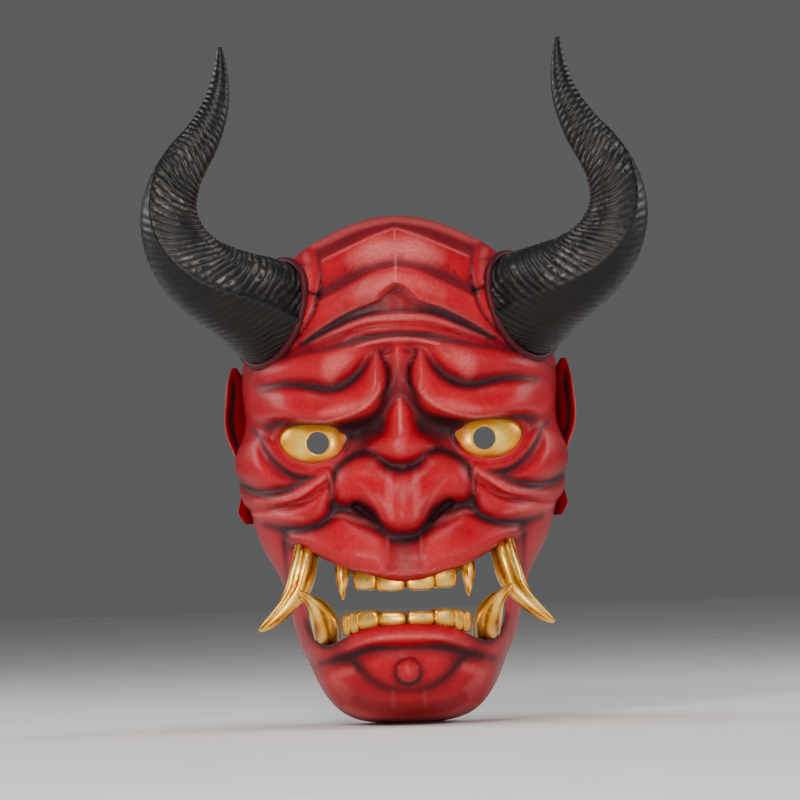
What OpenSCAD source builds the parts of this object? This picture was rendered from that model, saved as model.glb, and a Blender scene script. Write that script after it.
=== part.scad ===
// Horned demon mask: a cast resin face shell with bolted horns, gilt eyes, teeth and tusks,
// foam pads on its inside and a swinging ring at each temple for a head strap.
// Millimetres. X to the viewer's right, Z up, the face looks towards -Y. The origin is on the
// mid-line, in the plane of the back rim, at the height of the two sight holes.

/* [Face shell] */
// Depth of the plain dome from the back rim to its front
dome_depth = 72; // [66:1:76]
// Thickness of the casting under its plain areas
wall = 4; // [3.5:0.5:5]
// How far the nose stands out from the dome
nose_out = 30; // [24:1:32]
// How far the brow rolls stand out from the dome
brow_out = 9; // [6:1:11]

/* [Eyes] */
// Diameter of each sight hole
pupil_d = 11.2; // [8:0.2:12]
// Distance between the two sight holes
pupil_spacing = 82; // [80:1:84]
// Radius of the gilt eyeball surface
eyeball_r = 26; // [25:1:30]
// Thickness of the gilt eye
eye_wall = 2.6; // [2:0.2:3]

/* [Horns] */
// Diameter of the horn where it meets its seat
horn_root_d = 53; // [50:1:54]
// Thickness of the seat that the horn is bolted to
seat_thick = 6; // [5:0.5:8]
// Radius of the horn screw's shank
horn_screw_r = 2.5; // [2:0.5:3]
// Length of the horn screw's shank
horn_screw_len = 17; // [15:1:20]

/* [Strap rings] */
// Width of the head strap that the ring takes
strap_w = 26; // [20:1:28]
// Clear gap of the ring along the strap's pull
ring_gap = 6.5; // [6:0.5:8]
// Diameter of the ring's wire
wire_d = 2.8; // [2.4:0.2:3]

/* [Pads] */
// Thickness of the foam pads
pad_thick = 7; // [5:1:8]

/* [Hidden] */
$fn = 48;

// Dome outline: radii from the dome centre, every 15 degrees from crown to chin.
dome_centre_z = -10;
outline_radii = [121.5, 117.5, 111, 100, 89.5, 81, 78.5, 80.2, 80.5, 85, 104, 123.5, 127];
outline_step = 15;
outline_fullness = [5, 4.8, 4.2, 3.6, 3.2, 3, 3, 3, 3.2, 4, 6, 8, 8.5];
round_power = 0.4;
grid_x = 46;
grid_z = 58;

// Rounded forms, one half only: points are [x, z, half width, height].
brow_roll = [[73, 17, 7, 0.5], [63, 20, 9, 0.85], [52, 20, 9, 1], [38, 18.5, 8.5, 1], [24, 22, 9, 1],
    [14, 28, 8, 0.9], [10, 38, 5, 0.6]];
upper_brow = [[60, 35, 6, 3], [46, 36, 8, 5], [33, 37.5, 9, 5.5], [20, 42, 6, 4]];
forehead_fold = [[0, 56, 5, 3], [18, 54, 5, 3], [34, 50, 4, 2.5], [52, 44, 3, 1.5]];
lower_lid = [[66, -3, 4, 2.5], [56, -10.5, 4.5, 3.5], [44, -13.5, 4.5, 3.5], [31, -10, 4, 3]];
eye_bag = [[76, -12, 8, 3], [66, -14, 7, 4], [56, -17, 4.5, 3]];
cheek_roll = [[79, -27, 5, 3], [66, -30, 7.5, 5], [50, -30, 9.5, 6.5], [41, -25, 8, 5]];
nose_bulb = [[0, -2, 10, 9], [0, -6, 10, 9]];
nose_bridge = [[0, 20, 4, 3], [0, 8, 7, 8]];
nose_body = [[0, -18, 20, 0.6], [0, -26, 19, 0.85], [0, -34, 13, 1]];
nose_wing = [[16, -20, 12, 0.52], [24, -20, 11, 0.5]];
muzzle = [[0, -54, 16, 13], [18, -52, 15, 12], [34, -49, 12, 9], [50, -46, 8, 5]];
lip_rim = [[0, -66, 6, 17], [18, -63, 6, 15], [34, -58.5, 5.5, 11], [48, -51, 5, 6]];
lower_lip = [[0, -97, 7.5, 16], [18, -97.5, 7.5, 15.5], [34, -102, 7, 13.5], [45, -100, 6, 10], [52, -88, 5, 6],
    [55, -77, 4.5, 4]];
chin_mound = [[0, -116, 22, 15], [16, -114, 19, 13], [30, -111, 14, 8]];
chin_ball = [[0, -112.5, 7, 4]];

// Openings in the face, as smooth outlines of [x, z]: the eye is closed, the mouth is one half.
eye_outline = [[60.5, 2], [59, 6], [54, 8.3], [47, 8.7], [39, 8.2], [32, 6.2], [27.5, 2], [29.5, -2.5],
    [35, -7], [43, -9.3], [51, -8], [57, -4]];
mouth_outline = [[0, -69.5], [15, -67.5], [27, -64], [36, -60], [42, -57.5], [45.5, -63], [46, -73],
    [46, -83], [45, -91], [41, -98], [34, -98], [26, -94.5], [14, -91], [0, -90]];

// Horn: centre-line points [x, y, z, diameter], root first, for the +X horn.
horn_axis = [0.784, -0.537, 0.312];
horn_root = [64, -43, 65.5];
horn_run = [[71.5, -49, 70, 48], [79, -54, 74, 44.5], [88, -58.5, 79, 41], [97.5, -61.5, 86, 37.5],
    [105.5, -63, 96, 33.5], [110, -63.5, 107.5, 30], [110.5, -63, 119, 27], [107, -61.5, 131, 24.5],
    [101.5, -59.5, 140, 21.5], [95, -57, 149, 18.5], [90, -54.5, 158, 15.5], [86, -52, 168, 12.3],
    [84, -49.5, 178, 9], [83.3, -47.5, 188, 5.6], [83.6, -46, 197, 2.2]];
horn_sides = 28;
insert_r = 4;
insert_len = 13;
washer_r = 8;
washer_thick = 1.2;

// Tusks: centre-line points [x, y, z, diameter], root first, for the +X side.
upper_tusk_run = [[47, -53, -46, 10], [48, -58.5, -52, 12], [49, -63, -58, 13], [50.5, -66.5, -64.5, 13],
    [53, -69, -71.5, 11.8], [57.5, -71, -78, 9.6], [63, -72.5, -84, 7.2], [69, -73.5, -89, 4.6],
    [72.5, -74, -91.3, 1.8]];
lower_tusk_run = [[40.5, -47, -99, 9], [41, -54, -95, 11], [41.3, -61, -90.5, 11.5], [42.3, -67, -85.5, 9.8],
    [44.5, -71.5, -80.5, 7.6], [47.6, -75, -76.6, 5.2], [50.6, -77.5, -73.8, 3.2], [52.8, -79, -72, 1.2]];
tusk_sides = 16;

// Dental arches: [arch radius, arch centre y]; teeth are [x, width, top z, bottom z].
upper_arch = [46, -33];
lower_arch = [46, -33];
upper_set = [[7.3, 12.8, -66, -73.6], [20.8, 9.8, -64, -72.6]];
lower_set = [[6.8, 12.2, -84, -91], [19, 9.6, -83.4, -92], [26.3, 3.4, -84.6, -94], [30.6, 3.6, -86, -95]];
tooth_deep = 4.6;
upper_fang_run = [[31, -69, -58, 6.2], [31, -70, -62, 6.8], [31, -70.8, -66, 6.4], [31, -71.2, -70.5, 5],
    [31, -71.2, -74.5, 3], [31, -71, -77.4, 1]];

// Strap hardware on each inner side wall.
boss_face_x = 66;
bracket_z = 14;
bracket_front_y = -38;
hinge_y = -15;
bracket_thick = 1.5;
bracket_h = 17;
eye_tube_r = 3;
wire_r = wire_d / 2;
eye_bore_r = wire_r + 0.08;
hinge_x = boss_face_x - bracket_thick - 0.6 - eye_tube_r + bracket_thick;
ring_far_y = hinge_y + ring_gap + wire_d;
ring_half_z = strap_w / 2 + wire_r;
bracket_screw_y = [-33.5, -24];
bracket_screw_r = 1.5;

// ---------- functions ----------

function mirrored_index(i, last) = i < 0 ? -i : i > last ? 2 * last - i : i;

function spline(p, q, r, s, t) = 0.5 * (2 * q + (r - p) * t + (2 * p - 5 * q + 4 * r - s) * t * t
    + (3 * q - p - 3 * r + s) * t * t * t);

// A value listed round the dome's outline, read at an angle from the crown.
function round_outline(list, angle) =
    let (f = abs(angle) / outline_step, last = len(list) - 1, i = min(floor(f), last - 1))
    spline(list[mirrored_index(i - 1, last)], list[i], list[i + 1], list[mirrored_index(i + 2, last)], f - i);

// A smooth line through points, with a number of steps a span; closed or open.
function smooth_closed(p, steps) = let (n = len(p))
    [for (i = [0 : n - 1], k = [0 : steps - 1])
        spline(p[(i + n - 1) % n], p[i], p[(i + 1) % n], p[(i + 2) % n], k / steps)];
function smooth_open(p, steps) = let (n = len(p))
    [for (i = [0 : n - 2], k = [0 : (i == n - 2 ? steps : steps - 1)])
        spline(p[max(i - 1, 0)], p[i], p[i + 1], p[min(i + 2, n - 1)], k / steps)];

// One span of a rounded form: a ridge that is round across and runs from a to b.
function span_height(x, z, a, b) =
    let (dx = b[0] - a[0], dz = b[1] - a[1], len2 = max(dx * dx + dz * dz, 1e-6),
        t = min(1, max(0, ((x - a[0]) * dx + (z - a[1]) * dz) / len2)),
        away = norm([x - a[0] - t * dx, z - a[1] - t * dz]),
        w = a[2] + t * (b[2] - a[2]), h = a[3] + t * (b[3] - a[3]), q = away / w)
    q >= 1 ? 0 : h * pow(1 - q * q, 0.8);
function form_height(x, z, form) = len(form) == 1
    ? span_height(x, z, form[0], form[0])
    : max([for (i = [0 : len(form) - 2]) span_height(x, z, form[i], form[i + 1])]);

// Neighbouring rolls meet in a crease: a power mean keeps the higher of them.
function rolls(x, z) = pow(
    pow(brow_out * form_height(x, z, brow_roll), 4)
    + pow(form_height(x, z, upper_brow), 4)
    + pow(form_height(x, z, forehead_fold), 4)
    + pow(form_height(x, z, lower_lid), 4)
    + pow(form_height(x, z, eye_bag), 4)
    + pow(form_height(x, z, cheek_roll), 4)
    + pow(form_height(x, z, nose_bulb), 4)
    + pow(form_height(x, z, nose_bridge), 4)
    + pow(form_height(x, z, chin_ball), 4), 0.25);
function large_forms(x, z) = pow(
    pow(nose_out * form_height(x, z, nose_body), 4)
    + pow(nose_out * form_height(x, z, nose_wing), 4)
    + pow(form_height(x, z, muzzle), 4)
    + pow(form_height(x, z, lip_rim), 4)
    + pow(form_height(x, z, lower_lip), 4)
    + pow(form_height(x, z, chin_mound), 4), 0.25);

// A point of the dome with its outward direction, from -1 to 1 across and up the sheet.
function dome_point(a, b) =
    let (u = a * sqrt(1 - b * b / 2), v = b * sqrt(1 - a * a / 2), r = min(1, norm([u, v])),
        angle = r < 1e-6 ? 0 : atan2(u, v), reach = sin(90 * r),
        radius = round_outline(outline_radii, angle), full = round_outline(outline_fullness, angle),
        drop = pow(max(0, 1 - pow(reach, full)), round_power),
        side = full * pow(reach, full - 1) / radius,
        front = pow(drop, 1 / round_power - 1) / (round_power * dome_depth),
        out = [side * sin(angle), -front, side * cos(angle)])
    [[reach * radius * sin(angle), -dome_depth * drop, dome_centre_z + reach * radius * cos(angle)],
        out / norm(out)];

// Rolls and large forms fade out towards the back rim, where the casting's edge is plain.
function skin_point(a, b, inside) =
    let (pd = dome_point(a, b), p = pd[0], fade = min(1, -p[1] / 22),
        big = large_forms(abs(p[0]), p[2]), small = inside < 0 ? rolls(abs(p[0]), p[2]) : 0,
        h = inside < 0 ? fade * (big + small) : fade * 0.65 * big - wall - inside)
    p + pd[1] * h;

// The sheet coordinates of grid step i of n: the whole sheet is drawn with closer steps mid-face.
function between(low, high, i, n) = low + (high - low) * i / n;
function closer_mid(i, n) = let (s = 2 * i / n - 1) s * (0.8 + 0.2 * s * s);

// ---------- building blocks ----------

// A closed body between two offsets of the inner skin, over a patch of the sheet.
// The outer face is the shell's own skin where outer is negative.
module sheet_body(a0, a1, b0, b1, na, nb, outer, inner) {
    row = na + 1;
    count = row * (nb + 1);
    points = [for (side = [outer, inner], j = [0 : nb], i = [0 : na])
        skin_point(between(a0, a1, i, na), between(b0, b1, j, nb), side)];
    edge = concat([for (i = [0 : na - 1]) i], [for (j = [0 : nb - 1]) j * row + na],
        [for (i = [na : -1 : 1]) nb * row + i], [for (j = [nb : -1 : 1]) j * row]);
    faces = concat(
        [for (j = [0 : nb - 1], i = [0 : na - 1], k = [0, 1]) let (q = j * row + i)
            k == 0 ? [q, q + row + 1, q + 1] : [q, q + row, q + row + 1]],
        [for (j = [0 : nb - 1], i = [0 : na - 1], k = [0, 1]) let (q = count + j * row + i)
            k == 0 ? [q, q + 1, q + row + 1] : [q, q + row + 1, q + row]],
        [for (i = [0 : len(edge) - 1], k = [0, 1]) let (e = edge[i], f = edge[(i + 1) % len(edge)])
            k == 0 ? [e, f, count + f] : [e, count + f, count + e]]);
    polyhedron(points, faces, convexity = 8);
}

// The whole dome as a solid body, its back closed at y; side is -1 for the outer skin, or the
// depth below the inner skin.
module dome_body(na, nb, side, y) {
    row = na + 1;
    count = row * (nb + 1);
    rim = concat([for (i = [0 : na - 1]) i], [for (j = [0 : nb - 1]) j * row + na],
        [for (i = [na : -1 : 1]) nb * row + i], [for (j = [nb : -1 : 1]) j * row]);
    sheet = [for (j = [0 : nb], i = [0 : na]) let (p = skin_point(closer_mid(i, na), closer_mid(j, nb), side))
        i == 0 || i == na || j == 0 || j == nb ? [p[0], y, p[2]] : p];
    faces = concat(
        [for (j = [0 : nb - 1], i = [0 : na - 1], k = [0, 1]) let (q = j * row + i, lean = (i < na / 2) == (j < nb / 2))
            lean ? (k == 0 ? [q, q + row, q + 1] : [q + 1, q + row, q + row + 1])
                : (k == 0 ? [q, q + row + 1, q + 1] : [q, q + row, q + row + 1])],
        [for (i = [0 : len(rim) - 1]) [rim[i], rim[(i + 1) % len(rim)], count]]);
    polyhedron(concat(sheet, [[0, y, dome_centre_z]]), faces, convexity = 8);
}

// A tapering round body swept along [x, y, z, diameter] points; grow adds to its radius.
module swept(run, sides, grow = 0) {
    n = len(run);
    place = [for (p = run) [p[0], p[1], p[2]]];
    along = [for (i = [0 : n - 1]) let (d = place[min(i + 1, n - 1)] - place[max(i - 1, 0)]) d / norm(d)];
    points = concat([for (i = [0 : n - 1]) let (
            across = cross(along[i], [0, 1, 0.2]), e = across / norm(across), f = cross(along[i], e))
        for (k = [0 : sides - 1]) let (g = 360 * k / sides, r = run[i][3] / 2 + grow)
            place[i] + r * (cos(g) * e + sin(g) * f)]);
    faces = concat([[for (k = [0 : sides - 1]) k]],
        [for (i = [0 : n - 2], k = [0 : sides - 1], h = [0, 1]) let (m = (k + 1) % sides)
            h == 0 ? [i * sides + k, (i + 1) * sides + k, (i + 1) * sides + m]
                : [i * sides + k, (i + 1) * sides + m, i * sides + m]],
        [[for (k = [sides - 1 : -1 : 0]) (n - 1) * sides + k]]);
    polyhedron(points, faces, convexity = 6);
}

// Turns +Z to the horn's root direction, at its seat.
module at_horn_seat() {
    translate(horn_root)
        rotate([0, acos(horn_axis[2]), atan2(horn_axis[1], horn_axis[0])])
            children();
}

// Stands an outline drawn in x and z up along Y, from y0 to y1.
module through_y(y0, y1) {
    translate([0, y1, 0]) rotate([90, 0, 0]) linear_extrude(y1 - y0) children();
}

module left_side() {
    mirror([1, 0, 0]) children();
}
module both_sides() {
    children();
    left_side() children();
}

function eye_line() = smooth_closed(eye_outline, 3);
function mouth_line() = let (half = smooth_open(mouth_outline, 3))
    concat(half, [for (i = [len(half) - 2 : -1 : 1]) [-half[i][0], half[i][1]]]);

// ---------- face shell ----------

eye_centre = [34.4, -41.3, 0];

module eyeball(r, sides = 64) {
    translate(eye_centre) sphere(r, $fn = sides);
}

// The curved bar that a row of teeth stands on.
module tooth_bar(arch, r0, r1, z0, z1, half_angle) {
    translate([0, arch[1], z0])
        rotate([0, 0, -90 - half_angle])
            rotate_extrude(angle = 2 * half_angle, $fn = 96)
                translate([r0, 0]) square([r1 - r0, z1 - z0]);
}

// The ear lies along the side of the head: hulls between [x, y, z, radius] points down its length,
// with a thinner front edge and a back edge buried in the casting.
module ear() {
    rim = [[81, -10, 36, 0.8], [83, -14, 25, 2], [83.5, -15, 12, 2.4], [82.5, -14, 1, 2.2], [79.5, -14, -9, 2.6],
        [78, -14, -22, 2.6], [77, -14, -33, 3]];
    inner = [[76, -8, 32, 2], [76, -26, 25, 2], [77, -28, 12, 2.4], [77, -24, 1, 2.4], [76, -22, -9, 2.4],
        [75, -22, -22, 2.4], [72, -16, -32, 2.4]];
    for (i = [0 : len(rim) - 2]) hull()
        for (p = [rim[i], rim[i + 1], inner[i], inner[i + 1]])
            translate([p[0], p[1], p[2]]) sphere(p[3], $fn = 10);
}

// The collar round the horn's root, widening into the temple.
module horn_seat() {
    at_horn_seat() translate([0, 0, -24])
        cylinder(h = 24, r1 = horn_root_d / 2 + 3, r2 = horn_root_d / 2 + 5, $fn = 40);
    at_horn_seat() rotate_extrude($fn = 40) translate([horn_root_d / 2 + 1, -3.5]) circle(5, $fn = 8);
}

// The flat block inside the temple that the strap bracket is screwed to.
module strap_block() {
    translate([0, 0, bracket_z - 12]) linear_extrude(24)
        polygon([[boss_face_x, bracket_front_y - 3], [70, bracket_front_y - 3], [73, -31], [75, -20],
            [76, hinge_y + 4], [boss_face_x, hinge_y + 4]]);
}

module face_casting() {
    difference() {
        union() {
            difference() {
                union() {
                    dome_body(grid_x, grid_z, -1, 0);
                    both_sides() {
                        ear();
                        horn_seat();
                    }
                }
                dome_body(18, 22, 0, 1);
            }
            both_sides() strap_block();
        }
        both_sides() {
            at_horn_seat() cylinder(h = 30, r = horn_root_d / 2 + 0.3, $fn = 40);
            at_horn_seat() translate([0, 0, -seat_thick - 30]) cylinder(h = 30, r = 14, $fn = 32);
            at_horn_seat() translate([0, 0, -seat_thick - 1])
                cylinder(h = seat_thick + 2, r = horn_screw_r + 0.3, $fn = 24);
            eyeball(eyeball_r + 0.3, 36);
            through_y(-90, 0) polygon(eye_line());
            swept(upper_tusk_run, tusk_sides, 0.1);
            swept(lower_tusk_run, tusk_sides, 0.1);
            swept(upper_fang_run, 12, 0.1);
            for (y = bracket_screw_y)
                translate([boss_face_x - 1, y, bracket_z]) rotate([0, 90, 0])
                    cylinder(h = 7, r = bracket_screw_r + 0.05, $fn = 16);
        }
        through_y(-110, 0) polygon(mouth_line());
        tooth_bar(upper_arch, 34, upper_arch[0] - 1.1, -75, -59.9, 60);
        tooth_bar(upper_arch, 34, upper_arch[0] + 0.4, -75, -63.4, 60);
        tooth_bar(lower_arch, 34, lower_arch[0] - 1.1, -97.1, -82, 60);
        tooth_bar(lower_arch, 34, lower_arch[0] + 0.4, -95.4, -82, 60);
        translate([-120, 0, -160]) cube([240, 40, 320]);
    }
}

module face_shell() {
    color("firebrick") face_casting();
}

// ---------- horns ----------

module horn() {
    color([0.16, 0.16, 0.15]) difference() {
        swept(concat([concat(horn_root, [horn_root_d])], horn_run), horn_sides);
        at_horn_seat() translate([0, 0, -20]) cylinder(h = 20, r = 60);
        at_horn_seat() translate([0, 0, -1]) cylinder(h = insert_len + 5, r = insert_r);
    }
}
module horn_insert() {
    color("darkgoldenrod") at_horn_seat() difference() {
        cylinder(h = insert_len, r = insert_r);
        translate([0, 0, -1]) cylinder(h = insert_len + 2, r = horn_screw_r);
    }
}
module horn_washer() {
    color("silver") at_horn_seat() translate([0, 0, -seat_thick - washer_thick]) difference() {
        cylinder(h = washer_thick, r = washer_r);
        translate([0, 0, -1]) cylinder(h = washer_thick + 2, r = horn_screw_r + 0.3);
    }
}
module horn_screw() {
    color("silver") at_horn_seat() translate([0, 0, -seat_thick - washer_thick]) difference() {
        union() {
            cylinder(h = horn_screw_len, r = horn_screw_r);
            translate([0, 0, -3]) cylinder(h = 3, r1 = 4.2, r2 = 5);
        }
        translate([0, 0, -4]) cylinder(h = 3, r = 2.3, $fn = 6);
    }
}

// ---------- eyes ----------

module eye() {
    color("gold") difference() {
        intersection() {
            difference() {
                eyeball(eyeball_r);
                eyeball(eyeball_r - eye_wall);
            }
            through_y(-90, -45) polygon([for (p = eye_line()) [44 + (p[0] - 44) * 1.16, p[1] * 1.28]]);
        }
        translate([pupil_spacing / 2, 0, 0]) rotate([90, 0, 0]) cylinder(h = 100, r = pupil_d / 2);
    }
}

// ---------- teeth ----------

// One tooth: a rounded block that stands on the arch and faces outwards.
module tooth(arch, x, width, top, bottom) {
    turn = asin(x / arch[0]);
    translate([0, arch[1], 0]) rotate([0, 0, turn]) translate([0, -arch[0], 0]) hull() {
        for (s = [-1, 1]) {
            translate([s * (width / 2 - 1.4), tooth_deep / 2, top - 1.4]) sphere(1.4, $fn = 12);
            translate([s * (width / 2 - 1.2), tooth_deep / 2, bottom + 1.2]) sphere(1.2, $fn = 12);
            translate([s * (width / 2 - 1.4), tooth_deep, (top + bottom) / 2]) sphere(1.2, $fn = 12);
        }
        translate([0, 1.6, (top + bottom) / 2]) sphere(1.6, $fn = 12);
    }
}
module upper_teeth() {
    color("goldenrod") {
        tooth_bar(upper_arch, upper_arch[0] - 4, upper_arch[0] - 1.2, -68, -60, 35);
        both_sides() for (t = upper_set) tooth(upper_arch, t[0], t[1], t[2], t[3]);
    }
}
module lower_teeth() {
    color("goldenrod") {
        tooth_bar(lower_arch, lower_arch[0] - 4, lower_arch[0] - 1.2, -97, -89, 50);
        both_sides() for (t = lower_set) tooth(lower_arch, t[0], t[1], t[2], t[3]);
    }
}
module upper_fang() {
    color("goldenrod") swept(upper_fang_run, 12);
}
module upper_tusk() {
    color("goldenrod") swept(upper_tusk_run, tusk_sides);
}
module lower_tusk() {
    color("goldenrod") swept(lower_tusk_run, tusk_sides);
}

// ---------- pads ----------

module brow_pad() {
    color([0.1, 0.1, 0.1]) sheet_body(-0.3, 0.3, 0.44, 0.58, 14, 5, 0.6, pad_thick);
}
module cheek_pad() {
    color([0.1, 0.1, 0.1]) sheet_body(0.5, 0.66, -0.32, -0.06, 5, 8, 0.6, pad_thick);
}
module chin_pad() {
    color([0.1, 0.1, 0.1]) sheet_body(-0.2, 0.2, -0.86, -0.77, 10, 4, 1.2, pad_thick);
}

// ---------- strap hardware ----------

module strap_bracket() {
    color("silver") {
        difference() {
            translate([boss_face_x - bracket_thick, bracket_front_y, bracket_z - bracket_h / 2])
                cube([bracket_thick, hinge_y - bracket_front_y - 1, bracket_h]);
            for (y = bracket_screw_y)
                translate([boss_face_x - 5, y, bracket_z]) rotate([0, 90, 0]) cylinder(h = 10, r = 1.7);
            translate([hinge_x, hinge_y, bracket_z - bracket_h]) cylinder(h = 2 * bracket_h, r = eye_bore_r);
        }
        translate([hinge_x, hinge_y, bracket_z - 6]) difference() {
            cylinder(h = 12, r = eye_tube_r);
            translate([0, 0, -1]) cylinder(h = 14, r = eye_bore_r);
        }
    }
}
module bracket_screw_pair() {
    color("silver") for (y = bracket_screw_y)
        translate([boss_face_x - bracket_thick, y, bracket_z]) rotate([0, 90, 0]) {
            cylinder(h = 6.5, r = bracket_screw_r);
            difference() {
                translate([0, 0, -1.8]) cylinder(h = 1.8, r1 = 2.3, r2 = 2.9);
                translate([0, 0, -2.6]) cylinder(h = 1.8, r = 1.1, $fn = 6);
            }
        }
}

// A closed wire rectangle: one long side turns in the bracket's eye, the strap loops round the other.
module strap_ring() {
    bend = 3;
    far = ring_far_y - hinge_y;
    long = ring_half_z - bend;
    color("silver") translate([hinge_x, hinge_y, bracket_z]) {
        for (y = [0, far])
            translate([0, y, -long]) cylinder(h = 2 * long, r = wire_r);
        for (s = [-1, 1])
            translate([0, bend, s * ring_half_z]) rotate([-90, 0, 0]) cylinder(h = far - 2 * bend, r = wire_r);
        for (c = [[far - bend, long, 0], [bend, long, 90], [bend, -long, 180], [far - bend, -long, 270]])
            rotate([90, 0, 90]) translate([c[0], c[1], 0]) rotate([0, 0, c[2]])
                rotate_extrude(angle = 90) translate([bend, 0]) circle(wire_r);
    }
}

// ---------- nodes ----------

face_shell();
left_side() horn();  // horn_left
horn();  // horn_right
both_sides() horn_insert();  // horn_inserts
both_sides() horn_screw();  // horn_screws
both_sides() horn_washer();  // horn_washers
left_side() eye();  // eye_left
eye();  // eye_right
upper_teeth();
lower_teeth();
left_side() upper_fang();  // upper_fang_left
upper_fang();  // upper_fang_right
left_side() upper_tusk();  // upper_tusk_left
upper_tusk();  // upper_tusk_right
left_side() lower_tusk();  // lower_tusk_left
lower_tusk();  // lower_tusk_right
brow_pad();
left_side() cheek_pad();  // cheek_pad_left
cheek_pad();  // cheek_pad_right
chin_pad();
left_side() strap_bracket();  // strap_bracket_left
strap_bracket();  // strap_bracket_right
both_sides() bracket_screw_pair();  // bracket_screws
left_side() strap_ring();  // strap_ring_left
strap_ring();  // strap_ring_right
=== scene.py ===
import math
import bmesh
import bpy
import numpy as np
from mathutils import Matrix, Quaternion, Vector
from mathutils.kdtree import KDTree


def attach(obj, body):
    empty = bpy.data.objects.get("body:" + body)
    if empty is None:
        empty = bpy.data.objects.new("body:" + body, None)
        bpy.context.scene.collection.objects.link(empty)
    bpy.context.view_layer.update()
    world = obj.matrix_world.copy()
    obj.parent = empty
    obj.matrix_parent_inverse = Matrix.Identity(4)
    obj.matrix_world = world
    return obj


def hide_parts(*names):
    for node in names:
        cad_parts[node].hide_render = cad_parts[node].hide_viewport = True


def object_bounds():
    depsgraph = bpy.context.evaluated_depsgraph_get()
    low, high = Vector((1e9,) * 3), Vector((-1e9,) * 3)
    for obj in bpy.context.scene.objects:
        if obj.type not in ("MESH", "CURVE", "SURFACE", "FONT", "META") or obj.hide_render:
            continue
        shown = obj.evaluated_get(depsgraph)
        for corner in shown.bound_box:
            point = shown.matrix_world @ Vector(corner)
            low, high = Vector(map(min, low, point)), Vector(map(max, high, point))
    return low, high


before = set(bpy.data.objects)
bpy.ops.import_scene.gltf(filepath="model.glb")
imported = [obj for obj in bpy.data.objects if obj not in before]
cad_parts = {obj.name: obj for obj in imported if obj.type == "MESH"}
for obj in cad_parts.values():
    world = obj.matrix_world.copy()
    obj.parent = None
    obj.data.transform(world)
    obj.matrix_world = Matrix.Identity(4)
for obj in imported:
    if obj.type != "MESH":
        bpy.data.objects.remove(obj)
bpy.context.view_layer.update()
mm = 0.001


# small helpers

def toLinear(hexColour):
    parts = [int(hexColour[i:i + 2], 16) / 255 for i in (1, 3, 5)]
    return tuple([p / 12.92 if p <= 0.04045 else ((p + 0.055) / 1.055) ** 2.4 for p in parts] + [1.0])


def linkUp(tree, node, links):
    # each input takes a plain value, a socket, or a node's first live output
    for key, value in links.items():
        if isinstance(value, bpy.types.Node):
            value = [socket for socket in value.outputs if socket.enabled][0]
        if isinstance(value, bpy.types.NodeSocket):
            tree.links.new(value, node.inputs[key])
        else:
            node.inputs[key].default_value = value
    return node


def addNode(tree, kind, links=None, **settings):
    node = tree.nodes.new(kind)
    for name, value in settings.items():
        setattr(node, name, value)
    return linkUp(tree, node, links or {})


def meshPiece(name, points, faces, material=None, smooth=True):
    mesh = bpy.data.meshes.new(name)
    mesh.from_pydata([tuple(p) for p in np.asarray(points) * mm], [], [tuple(f) for f in faces])
    mesh.validate()
    mesh.update()
    for polygon in mesh.polygons:
        polygon.use_smooth = smooth
    if material:
        mesh.materials.append(material)
    piece = bpy.data.objects.new(name, mesh)
    bpy.context.scene.collection.objects.link(piece)
    return piece


def evaluated(piece):
    # the piece with its modifiers applied, as a plain mesh
    graph = bpy.context.evaluated_depsgraph_get()
    mesh = bpy.data.meshes.new_from_object(piece.evaluated_get(graph))
    piece.modifiers.clear()
    piece.data = mesh
    return piece


def boolean(piece, other, operation):
    step = piece.modifiers.new(operation.lower(), "BOOLEAN")
    step.operation, step.object, step.solver = operation, other, "MANIFOLD"
    evaluated(piece)
    bpy.data.objects.remove(other)
    return piece


def smoothLine(points, steps=4, closed=False):
    p = np.array(points, float)
    n = len(p)
    spans = n if closed else n - 1
    out = []
    for i in range(spans):
        if closed:
            a, b, c, d = p[i - 1], p[i], p[(i + 1) % n], p[(i + 2) % n]
        else:
            a, b, c, d = p[max(i - 1, 0)], p[i], p[i + 1], p[min(i + 2, n - 1)]
        for k in range(steps):
            t = k / steps
            out.append(0.5 * (2 * b + (c - a) * t + (2 * a - 5 * b + 4 * c - d) * t * t
                              + (3 * b - a - 3 * c + d) * t ** 3))
    if not closed:
        out.append(p[-1])
    return np.array(out)


def bothHalves(half):
    # a half outline from the mid-line round to the mid-line, closed with its mirror image
    mirror = [[-q[0], q[1]] for q in half[::-1] if q[0] != 0]
    return half + mirror


def smoothStep(low, high, value):
    t = np.clip((value - low) / (high - low), 0, 1)
    return t * t * (3 - 2 * t)


def grainNoise(x, y, seed, size):
    # smooth value noise on a fixed lattice, about -1 to 1
    rng = np.random.default_rng(seed)
    table = rng.uniform(-1, 1, (64, 64))
    u, v = x / size, y / size
    i, j = np.floor(u).astype(int), np.floor(v).astype(int)
    fu, fv = u - i, v - j
    fu, fv = fu * fu * (3 - 2 * fu), fv * fv * (3 - 2 * fv)
    corner = lambda a, b: table[(i + a) % 64, (j + b) % 64]
    return (corner(0, 0) * (1 - fu) * (1 - fv) + corner(1, 0) * fu * (1 - fv)
            + corner(0, 1) * (1 - fu) * fv + corner(1, 1) * fu * fv)


# materials

even = (1, 1, 1)


def startMaterial(name, patterns):
    # each pattern is a noise: the width of one blotch in mm, its detail, its stretch and its distortion
    material = bpy.data.materials.new(name)
    material.use_nodes = True
    tree = material.node_tree
    coords = addNode(tree, "ShaderNodeTexCoord").outputs["Object"]
    noise = {}
    for label, (width, detail, stretch, distortion) in patterns.items():
        place = addNode(tree, "ShaderNodeMapping", {"Vector": coords, "Scale": stretch})
        noise[label] = addNode(tree, "ShaderNodeTexNoise", {"Vector": place, "Scale": 1000 / width, "Detail": detail,
                                                            "Distortion": distortion})
    return material, tree, tree.nodes["Principled BSDF"], coords, noise


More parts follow.
